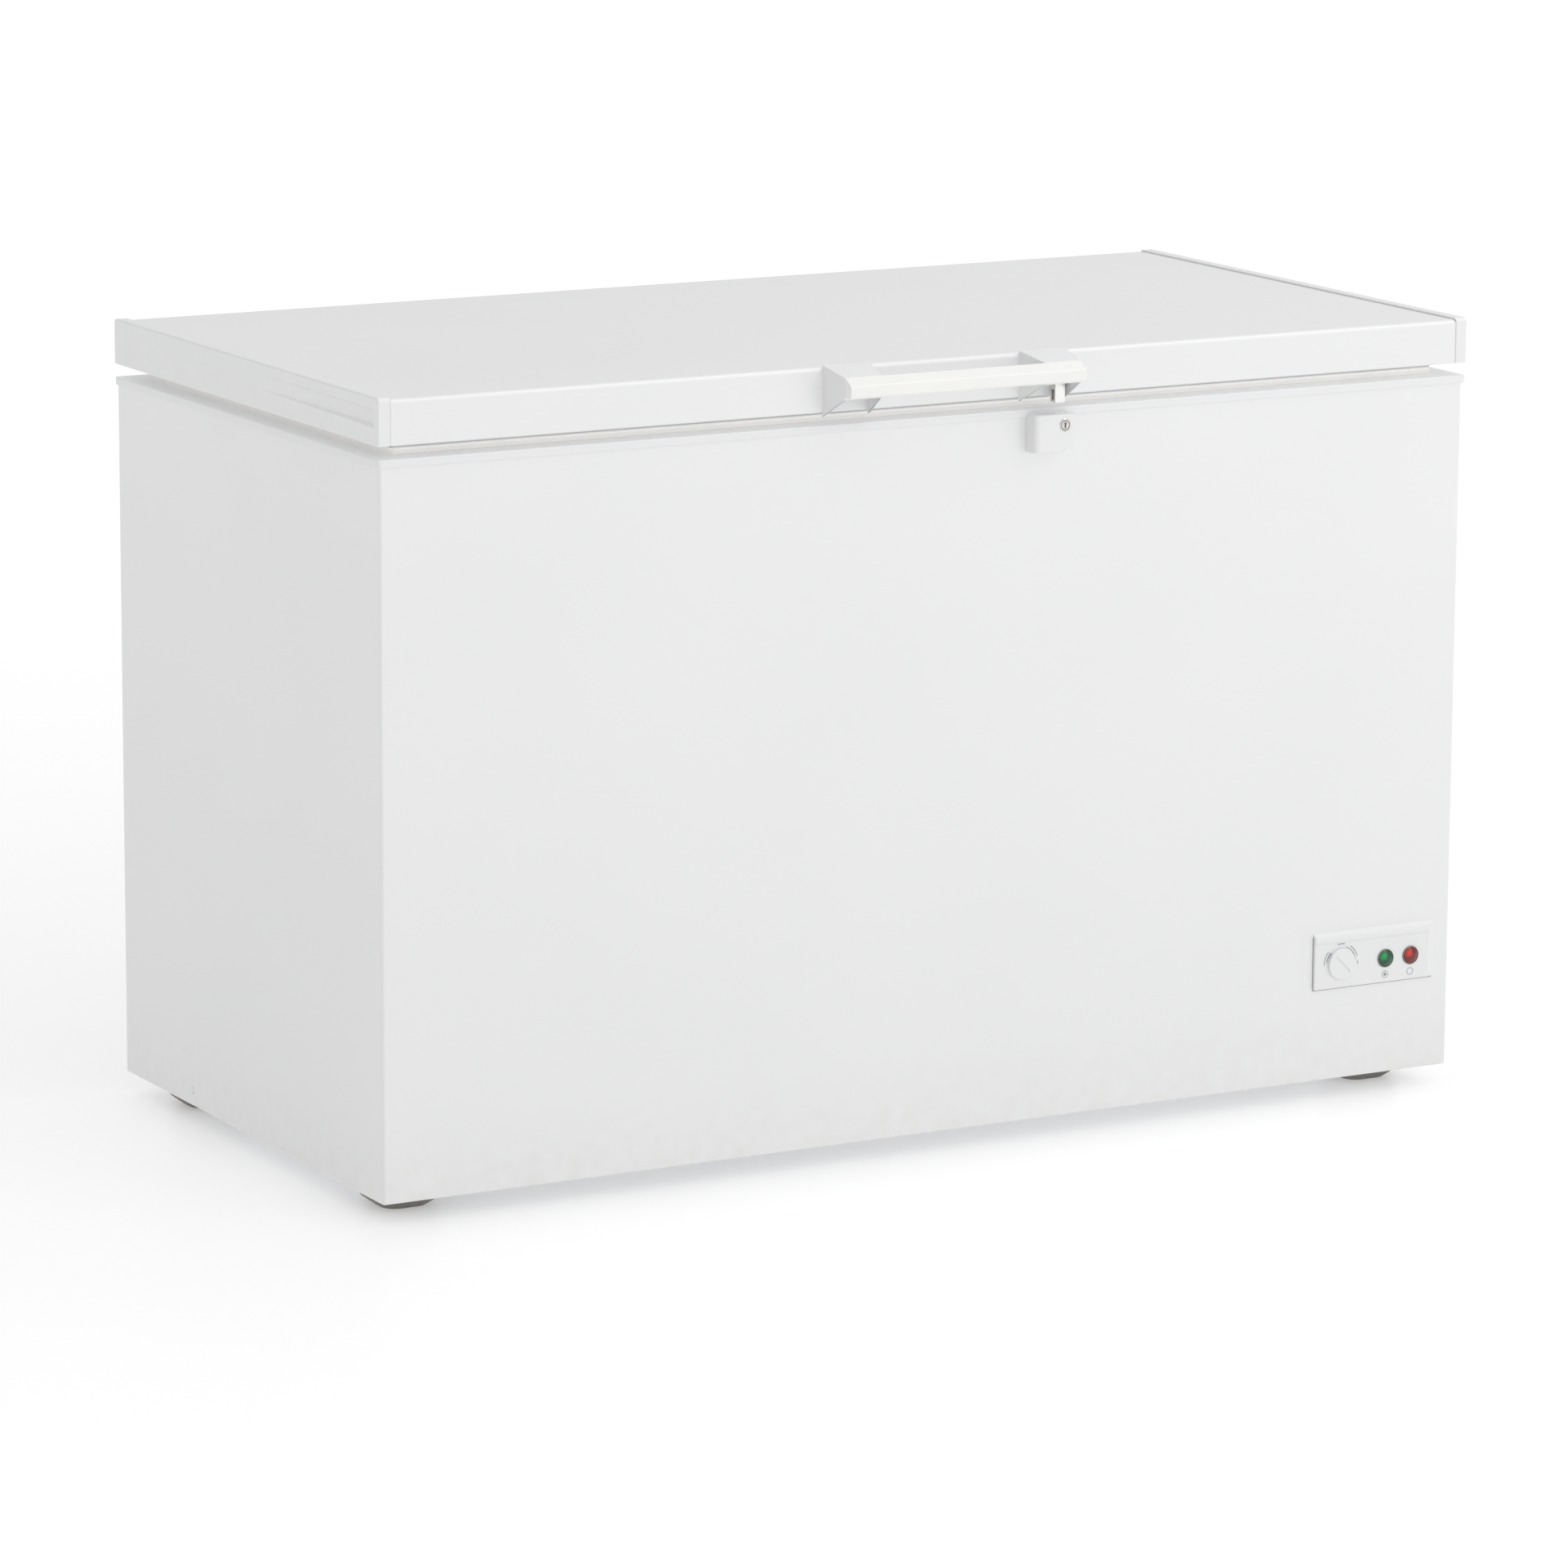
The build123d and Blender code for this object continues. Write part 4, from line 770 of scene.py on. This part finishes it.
# %% Lid inner skin
LID_SKIN = ((160, 792.6, 18), (156, 791.4, 20), (152, 791.0, 22), (80, 791.0, 19), (77, 791.6, 21),
            (75.6, 793.6, 22), (75, 800.4, 22), (73.4, 801.6, 24), (3.2, 801.8, 3), (3.2, 803.6, 3),
            (77, 803.6, 20), (78, 793.4, 19))
lid_skin = bmesh.new()
skin(lid_skin, [lid_loop(*stop) for stop in LID_SKIN], cap_first=True, cap_last=True)
place_piece("lid_skin", lid_skin, "white_plastic", "lid", ["lid_inner_liner"])

# %% [markdown]
# ## The handle
# Two hollow wedges carry a bar. A wedge is as tall as the lid where it is screwed
# on, and its underside slopes up to the bar. It is moulded like a cup: open below,
# with ribs inside. So its outer faces are built first, their edges rounded, and a
# solidify modifier turns them into walls. The bar's top edge is sloped for fingers.

# %% Handle
BRACKET_NEAR = ((89.0, 145.0), 797.0)
BRACKET_FAR = ((97.0, 141.2), 818.5)
bar_low, bar_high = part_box("handle_bar")


def make_bracket(sign):
    """The wedge's top, sides and far end; the bottom stays open."""
    stations = ((lid_y[0] + 0.5 * MM, *BRACKET_NEAR, lid_z[1] / MM),
                (bar_high.y, *BRACKET_FAR, bar_high.z / MM))
    mesh = bmesh.new()
    corners = []
    for y, x, low, high in stations:
        row = [(x[0], low), (x[0], high), (x[1], high), (x[1], low)]
        corners.append([mesh.verts.new((sign * px * MM, y, pz * MM)) for px, pz in row])
    near, far = corners
    for index in range(3):
        mesh.faces.new((near[index], near[index + 1], far[index + 1], far[index]))
    mesh.faces.new(far)
    return mesh


def make_bracket_ribs(sign):
    """Screw web against the lid, one long rib and one short cross rib."""
    mesh = bmesh.new()
    near = lid_y[0]
    spans = (((91.5, 142.4), (near - 2.5 * MM, near), (826.0, 847.0)),
             ((105.0, 107.0), (bar_high.y + 2.6 * MM, near - 2.0 * MM), (826.0, 839.2)),
             ((122.0, 124.0), (bar_high.y + 2.6 * MM, near - 14.0 * MM), (826.0, 839.2)))
    for x, y, z in spans:
        ends = sorted(sign * value * MM for value in x)
        block(mesh, ends, y, [value * MM for value in z])
    return mesh


for side_name, sign in (("left", -1), ("right", 1)):
    place_piece("bracket_" + side_name, make_bracket(sign), "white_plastic", "lid",
                ["handle_bracket_" + side_name], bevel_mm=1.3, wall_mm=2.3)
    place_piece("bracket_ribs_" + side_name, make_bracket_ribs(sign), "white_plastic", "lid",
                bevel_mm=0.4)

bar_front, bar_back = bar_low.y, bar_high.y
bar_outline = ((bar_back, bar_high.z), (bar_front + 0.8 * MM, 834.6 * MM), (bar_front, 833.6 * MM),
               (bar_front, 822.5 * MM), (bar_front + 1.5 * MM, bar_low.z), (bar_back, bar_low.z))
bar_mesh = bmesh.new()
bar_ends = [[(x, y, z) for y, z in bar_outline] for x in (bar_low.x, bar_high.x)]
skin(bar_mesh, bar_ends, cap_first=True, cap_last=True)
place_piece("grip_bar", bar_mesh, "warm_white_plastic", "lid", ["handle_bar"],
            bevel_mm=1.0)

# %% [markdown]
# ## The lock's cover
# The lock hides in a moulded box under the right end of the handle. Its left edge is
# a full bullnose, its other edges are nearly sharp, and its lower edge steps up a
# little at the right. The outline is drawn from the front, so each corner can have
# its own shape, and is carried back to the cabinet. A slot is cut in its top, where
# the hook comes up.

# %% Lock cover
cover_low, cover_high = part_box("lock_housing")
COVER_STEP = 3.0 * MM
COVER_WALL = 1.8 * MM
NOSE = 5.5
HOOK_SLOT = (33.5 * MM, 7.0 * MM)
RIM_UNDERSIDE = 779.0 * MM


def cover_outline(shrink):
    """The cover from the front, shrunk evenly, with a step in its lower edge."""
    left, right = cover_low.x + shrink, cover_high.x - shrink
    low, high = cover_low.z + shrink, cover_high.z - shrink
    step_x = right - 13.0 * MM
    return [(left, low), (step_x, low), (step_x + COVER_STEP, low + COVER_STEP), (right, low + COVER_STEP),
            (right, high), (left, high)]


def make_cover():
    """Inner loops out to the cabinet, then outer loops back to the face, with a round left edge."""
    mesh = bmesh.new()
    front, back = cover_low.y, cover_high.y
    steps = 6
    inside = cover_outline(COVER_WALL)
    loops = [[(x, y, z) for x, z in inside] for y in (front + COVER_WALL, back)]
    loops.append([(x, back, z) for x, z in cover_outline(0.0)])
    for step in range(steps + 1):
        angle = math.radians(90 * step / steps)
        slide = NOSE * MM * (1 - math.cos(angle))
        loop = cover_outline(0.9 * MM * (1 - math.cos(angle)))
        y = front + NOSE * MM * (1 - math.sin(angle))
        loops.append([(x + slide if x < cover_low.x + 2 * MM else x, y, z) for x, z in loop])
    skin(mesh, loops, cap_first=True, cap_last=True)
    return mesh


def make_slot_cutter():
    """A block through the cover's top, where the hook comes up, and one that clears the rim."""
    hook_low, hook_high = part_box("lock_hook")
    barrel_low, barrel_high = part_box("lock_barrel")
    centre = (barrel_low.x + barrel_high.x) / 2
    mesh = bmesh.new()
    block(mesh, (centre - HOOK_SLOT[0], centre - HOOK_SLOT[1]),
          (hook_low.y - 0.2 * MM, hook_high.y + 1.0 * MM),
          (cover_high.z - 3.0 * MM, cover_high.z + 1.0 * MM))
    block(mesh, (cover_low.x - 1.0 * MM, cover_high.x + 1.0 * MM),
          (lid_y[0] - 0.2 * MM, cover_high.y + 1.0 * MM), (RIM_UNDERSIDE, cover_high.z + 2.0 * MM))
    return keep_cutter(mesh, "slot_cutter")


lock_cover = place_piece("lock_cover", make_cover(), "white_plastic", "cabinet",
                         ["lock_housing"])
cut_away(lock_cover, make_slot_cutter(), bevel_mm=0.6)

# %% [markdown]
# ## The dial's printed scale
# Round the thermostat's knob are printed marks: dashes outside, and inside them a
# wedge for each end of the range. Under the lamps are two small ring symbols. A
# printed mark has hardly any thickness, so each is a thin slip of ink, a tenth of a
# millimetre proud of the panel, cut from a ring between two angles of a clock face.

# %% Printed scale
panel_low, panel_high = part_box("control_panel")
knob_low, knob_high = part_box("thermostat_knob")
green_low, green_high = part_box("lamp_green")
red_low, red_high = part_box("lamp_red")
KNOB_PROUD = 4.0 * MM
PANEL_FACE = knob_low.y + KNOB_PROUD
SYMBOL_DROP = 18.0 * MM
INK = 0.12 * MM
dial_centre = ((knob_low.x + knob_high.x) / 2, (knob_low.z + knob_high.z) / 2)


def ring_mark(mesh, centre, inner_mm, outer_mm, start_hour, end_hour, inner_end_mm=None):
    """A slip of ink between two radii, from one hour of the clock to another."""
    steps = max(3, int(abs(end_hour - start_hour) * 5))
    inner_end = inner_mm if inner_end_mm is None else inner_end_mm
    rows = []
    for step in range(steps + 1):
        part = step / steps
        angle = math.radians(90 - 30 * (start_hour + (end_hour - start_hour) * part))
        inner = (inner_mm + (inner_end - inner_mm) * part) * MM
        across, up = math.cos(angle), math.sin(angle)
        for depth in (0.0, -INK):
            rows.append([mesh.verts.new((centre[0] + radius * across, PANEL_FACE + depth,
                                         centre[1] + radius * up)) for radius in (inner, outer_mm * MM)])
    for index in range(0, len(rows) - 2, 2):
        back, face, next_back, next_face = rows[index:index + 4]
        mesh.faces.new((face[0], face[1], next_face[1], next_face[0]))
        mesh.faces.new((back[0], next_back[0], next_back[1], back[1]))
        mesh.faces.new((back[1], next_back[1], next_face[1], face[1]))
        mesh.faces.new((back[0], face[0], next_face[0], next_back[0]))
    mesh.faces.new((rows[0][0], rows[0][1], rows[1][1], rows[1][0]))
    mesh.faces.new((rows[-2][0], rows[-1][0], rows[-1][1], rows[-2][1]))


scale_mesh = bmesh.new()
for start, end in ((9.0, 10.4), (11.6, 12.4), (13.1, 14.4), (14.9, 15.2)):
    ring_mark(scale_mesh, dial_centre, 21.4, 22.3, start, end)
ring_mark(scale_mesh, dial_centre, 18.5, 19.3, 9.2, 10.5, 17.3)
ring_mark(scale_mesh, dial_centre, 18.8, 19.3, 12.6, 16.0, 17.2)
place_piece("dial_scale", scale_mesh, "grey_ink", "cabinet")

symbol_mesh = bmesh.new()
for low, high in ((green_low, green_high), (red_low, red_high)):
    centre = ((low.x + high.x) / 2, dial_centre[1] - SYMBOL_DROP)
    ring_mark(symbol_mesh, centre, 3.5, 4.1, 0.0, 12.0)
place_piece("lamp_symbols", symbol_mesh, "grey_ink", "cabinet")
dot_mesh = bmesh.new()
dot_centre = ((green_low.x + green_high.x) / 2, dial_centre[1] - SYMBOL_DROP)
ring_mark(dot_mesh, dot_centre, 0.2, 1.9, 0.0, 12.0)
place_piece("lamp_dot", dot_mesh, "grey_ink", "cabinet")

# %% [markdown]
# ## Lamps
# Each lamp is a shallow dome in a dark bezel. Both are round about an axis that
# points out of the panel, so both are turned from a profile, as on a lathe. The
# dome's profile is part of a circle, which gives its even highlight.

# %% Lamps
LENS_RADIUS = 9.3
LENS_RISE = 3.4
BEZEL = 10.3


def lathe_y(mesh, centre, profile, steps=40, ring=True):
    """Turns a (radius, y) profile round an axis along Y."""
    loops = []
    turns = [2 * math.pi * step / steps for step in range(steps)]
    for radius, y in profile:
        loops.append([(centre[0] + radius * MM * math.cos(turn), y, centre[1] + radius * MM * math.sin(turn))
                      for turn in turns])
    skin(mesh, loops, ring=ring, cap_first=not ring, cap_last=not ring)


def make_dome(centre):
    mesh = bmesh.new()
    sphere = (LENS_RADIUS ** 2 + LENS_RISE ** 2) / (2 * LENS_RISE)
    reach = math.asin(LENS_RADIUS / sphere)
    profile = [(LENS_RADIUS, PANEL_FACE + 1.0 * MM)]
    for step in range(9):
        angle = reach * (1 - step / 9)
        rise = sphere * math.cos(angle) - (sphere - LENS_RISE)
        profile.append((sphere * math.sin(angle), PANEL_FACE - (0.9 + rise) * MM))
    lathe_y(mesh, centre, profile, ring=False)
    return mesh


bezels = bmesh.new()
for colour, low, high in (("green", green_low, green_high), ("red", red_low, red_high)):
    centre = ((low.x + high.x) / 2, (low.z + high.z) / 2)
    lathe_y(bezels, centre, ((LENS_RADIUS, PANEL_FACE), (LENS_RADIUS, PANEL_FACE - 1.2 * MM),
                             (LENS_RADIUS + 0.4, PANEL_FACE - 1.5 * MM), (BEZEL, PANEL_FACE - 0.9 * MM),
                             (BEZEL, PANEL_FACE)))
    place_piece("lens_" + colour, make_dome(centre), colour + "_lens", "cabinet",
                ["lamp_" + colour])
place_piece("lamp_bezels", bezels, "grey_plastic", "cabinet")

# %% [markdown]
# ## Panel edge shade and lock face
# A thin dark strip along the panel's left and lower edges only is painted shade: the
# shadow at the foot of the raised panel on those sides. The lock has a dark gap between
# its fixed ring and the barrel, and a keyway that turns with the barrel.

# %% Panel edge shade and lock face
PANEL_SHADE_SIDE = 0.5 * MM
PANEL_SHADE_BELOW = 1.5 * MM
PANEL_SHADE_TUCK = 0.3 * MM
PANEL_SHADE_SHORT = 4.0 * MM
# A dark strip on the panel's left and lower edges only: painted shade at the foot of the raised panel.
panel_shade = bmesh.new()
depths = (skin_low.y - 0.6 * MM, skin_low.y + 0.2 * MM)
block(panel_shade, (panel_low.x - PANEL_SHADE_SIDE, panel_low.x + PANEL_SHADE_TUCK), depths,
      (panel_low.z, panel_high.z - PANEL_SHADE_SHORT))
block(panel_shade, (panel_low.x, panel_high.x - PANEL_SHADE_SHORT), depths,
      (panel_low.z - PANEL_SHADE_BELOW, panel_low.z + PANEL_SHADE_TUCK))
place_piece("panel_edge_shade", panel_shade, "grey_plastic", "cabinet")

face_low, face_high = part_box("lock_barrel")
face_centre = ((face_low.x + face_high.x) / 2, (face_low.z + face_high.z) / 2)
lock_gap = bmesh.new()
gap_front, gap_back = face_low.y - 0.1 * MM, face_low.y + 0.3 * MM
lathe_y(lock_gap, face_centre, ((4.4, gap_back), (4.4, gap_front), (5.6, gap_front), (5.6, gap_back)))
place_piece("lock_gap", lock_gap, "grey_plastic", "cabinet")
keyway = bmesh.new()
block(keyway, (face_centre[0] - 0.7 * MM, face_centre[0] + 0.7 * MM),
      (face_low.y - 0.12 * MM, gap_back), (face_centre[1] - 2.9 * MM, face_centre[1] + 2.9 * MM))
place_piece("lock_keyway", keyway, "black_plastic", "lock")

# %% [markdown]
# ## Feet
# Four oblong pads narrow towards the floor. Each is one stack of rounded loops with a
# small radius where it meets the floor, a raised band where it meets the cabinet and
# a recess for its screw.

# %% Feet
feet_low, feet_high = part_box("feet")
FOOT_HALF = (39.0, 35.0)
FOOT_STACK = ((39.0, 35.0, 24.8, 26.0), (39.0, 35.0, 11.0, 26.0), (38.6, 34.6, 10.2, 25.6),
              (31.5, 28.0, 4.8, 20.0), (26.4, 23.3, 1.2, 16.6), (25.2, 22.2, 0.3, 16.0),
              (24.0, 21.0, 0.0, 15.0), (8.0, 8.0, 0.0, 7.9), (8.0, 8.0, 7.0, 7.9))


def make_feet():
    mesh = bmesh.new()
    for x in (feet_low.x + FOOT_HALF[0] * MM, feet_high.x - FOOT_HALF[0] * MM):
        for y in (feet_low.y + FOOT_HALF[1] * MM, feet_high.y - FOOT_HALF[1] * MM):
            loops = [rounded_loop((x - half_x * MM, x + half_x * MM), (y - half_y * MM, y + half_y * MM),
                                  z * MM, radius * MM) for half_x, half_y, z, radius in FOOT_STACK]
            skin(mesh, loops, cap_first=True, cap_last=True)
    return mesh


place_piece("foot_pads", make_feet(), "grey_plastic", "cabinet", ["feet"])

# %% [markdown]
# ## The wire basket
# The storage basket is welded from drawn wire and dipped in white plastic. A thick
# hoop runs round its top and thin ones below it. More thin wires run down one side,
# across the bottom and up the other, and a thick loop at each end rests on the rim's
# ledge. A curve with a round bevel
# is the natural way to draw wire: every wire is one spline through its bends.

# %% Wire basket
basket_low, basket_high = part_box("basket")
WIRE, RAIL = 1.5 * MM, 2.6 * MM
BODY_INSET_Y = 24.0 * MM
WIRE_BEND, LOOP_BEND = 10 * MM, 9 * MM
LOOP_INSET = 22 * MM


def add_wire(curve, points, closed=False):
    spline = curve.splines.new("POLY")
    spline.points.add(len(points) - 1)
    for point, place in zip(spline.points, points):
        point.co = (*place, 1.0)
    spline.use_cyclic_u = closed


def round_bend(corner, first, second, radius, steps=5):
    """Points of an arc that rounds the corner between two directions."""
    start = corner + first * radius
    end = corner + second * radius
    parts = [step / steps for step in range(steps + 1)]
    return [start.lerp(corner, part).lerp(corner.lerp(end, part), part) for part in parts]


def basket_curve(name, radius):
    curve = bpy.data.curves.new(name, "CURVE")
    curve.dimensions = "3D"
    curve.bevel_depth = radius
    curve.bevel_resolution = 2
    return curve


def u_wire(points, radius):
    """A wire through upright and level runs, with rounded bends."""
    wire = [points[0]]
    for before, corner, after in zip(points, points[1:], points[2:]):
        wire += round_bend(corner, (before - corner).normalized(), (after - corner).normalized(), radius)
    return wire + [points[-1]]


def make_basket():
    x0, x1 = basket_low.x + RAIL, basket_high.x - RAIL
    y0, y1 = basket_low.y + BODY_INSET_Y + RAIL, basket_high.y - BODY_INSET_Y - RAIL
    z0, z1 = basket_low.z + WIRE, basket_high.z - RAIL
    wires = basket_curve("basket_wires", WIRE)
    rails = basket_curve("basket_rails", RAIL)
    inner = WIRE + RAIL
    across = [x0 + (x1 - x0) * step / 9 for step in range(1, 9)]
    along = [y0 + (y1 - y0) * step / 18 for step in range(1, 18)]
    for y in along:
        stops = [Vector((x0 + inner - RAIL, y, z1)), Vector((x0 + inner - RAIL, y, z0)),
                 Vector((x1 - inner + RAIL, y, z0)), Vector((x1 - inner + RAIL, y, z1))]
        add_wire(wires, u_wire(stops, WIRE_BEND))
    for x in across:
        low = z0 + 2 * WIRE
        stops = [Vector((x, y0 + inner, z1)), Vector((x, y0 + inner, low)), Vector((x, y1 - inner, low)),
                 Vector((x, y1 - inner, z1))]
        add_wire(wires, u_wire(stops, WIRE_BEND))
    for level in (0.30, 0.55, 0.78):
        z = z0 + (z1 - z0) * level
        add_wire(wires, rounded_loop((x0 + WIRE, x1 - WIRE), (y0 + WIRE, y1 - WIRE), z, 11 * MM), True)
    add_wire(rails, rounded_loop((x0, x1), (y0, y1), z1, 12 * MM), True)
    for y_in, y_out in ((y0, basket_low.y + RAIL), (y1, basket_high.y - RAIL)):
        stops = [Vector((x0 + LOOP_INSET, y_in, z1)), Vector((x0 + LOOP_INSET, y_out, z1)),
                 Vector((x1 - LOOP_INSET, y_out, z1)), Vector((x1 - LOOP_INSET, y_in, z1))]
        add_wire(rails, u_wire(stops, LOOP_BEND))
    for curve in (wires, rails):
        curve.materials.append(finishes["coated_wire"])
        piece = bpy.data.objects.new(curve.name, curve)
        bpy.context.scene.collection.objects.link(piece)
        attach(piece, "basket")
        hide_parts("basket")
    print("basket wires", len(wires.splines), "rails", len(rails.splines))


make_basket()

# %% [markdown]
# ## Floor and light
# A pale floor runs far beyond the view, so it is also the background. Soft light
# comes from everywhere. A broad lamp in front, to the right, casts soft shadows. A
# second one above lifts the front and the top. That one casts no shadow, because it
# stands in for light from all round a studio, and with a shadow it drew the handle
# on the front. The floor glows a little, like a light table, and more so far away.

# %% Floor and light
FLOOR_HALF = 60.0
SKY = 0.71
KEY_POWER = 34.0
TOP_POWER = 94.0
FLOOR_GLOW = 0.14
FAR_GLOW = 0.36
GLOW_FROM, GLOW_TO = 0.8, 5.0
KEY_PLACE, KEY_TARGET, KEY_SIZE = (3.2, -6.0, 3.2), (0.0, 0.0, 0.6), 4.2
TOP_PLACE, TOP_TARGET, TOP_SIZE = (2.2, -2.0, 5.0), (0.0, 0.0, 0.8), 3.6


def make_floor():
    tree, shader = start_finish("studio_floor")
    body = blend_colours(tree, clouds(tree, 900, 3), (0.93, 0.93, 0.93), (0.92, 0.92, 0.92))
    tree.links.new(body, shader.inputs["Base Color"])
    tree.links.new(spread(tree, grain(tree, 200, 3), 0.30, 0.36), shader.inputs["Roughness"])
    shader.inputs["Emission Color"].default_value = (1.0, 1.0, 1.0, 1.0)
    reach = tree.nodes.new("ShaderNodeVectorMath")
    reach.operation = "LENGTH"
    tree.links.new(object_place(tree), reach.inputs[0])
    glow = spread(tree, reach.outputs["Value"], FLOOR_GLOW, FAR_GLOW, GLOW_FROM, GLOW_TO)
    tree.links.new(glow, shader.inputs["Emission Strength"])
    shader.inputs["Specular IOR Level"].default_value = 0.15
    data = bpy.data.meshes.new("floor")
    half = FLOOR_HALF
    corners = [(-half, -half, 0), (half, -half, 0), (half, half, 0), (-half, half, 0)]
    data.from_pydata(corners, [], [(0, 1, 2, 3)])
    data.materials.append(finishes["studio_floor"])
    floor = bpy.data.objects.new("floor", data)
    bpy.context.scene.collection.objects.link(floor)


def soft_lamp(name, place, target, size, power, shadows=True):
    lamp = bpy.data.lights.new(name, "AREA")
    lamp.shape = "SQUARE"
    lamp.size = size
    lamp.energy = power
    lamp.use_shadow = shadows
    holder = bpy.data.objects.new(name, lamp)
    holder.location = place
    holder.rotation_euler = (Vector(target) - Vector(place)).to_track_quat("-Z", "Y").to_euler()
    bpy.context.scene.collection.objects.link(holder)


make_floor()
world = bpy.data.worlds.new("studio")
world.use_nodes = True
world.node_tree.nodes["Background"].inputs["Color"].default_value = (1.0, 1.0, 1.0, 1.0)
world.node_tree.nodes["Background"].inputs["Strength"].default_value = SKY
bpy.context.scene.world = world
soft_lamp("key", KEY_PLACE, KEY_TARGET, KEY_SIZE, KEY_POWER)
soft_lamp("top", TOP_PLACE, TOP_TARGET, TOP_SIZE, TOP_POWER, shadows=False)
bpy.context.scene.view_settings.view_transform = "Standard"
print("sky", SKY, "key", KEY_POWER, "top", TOP_POWER)
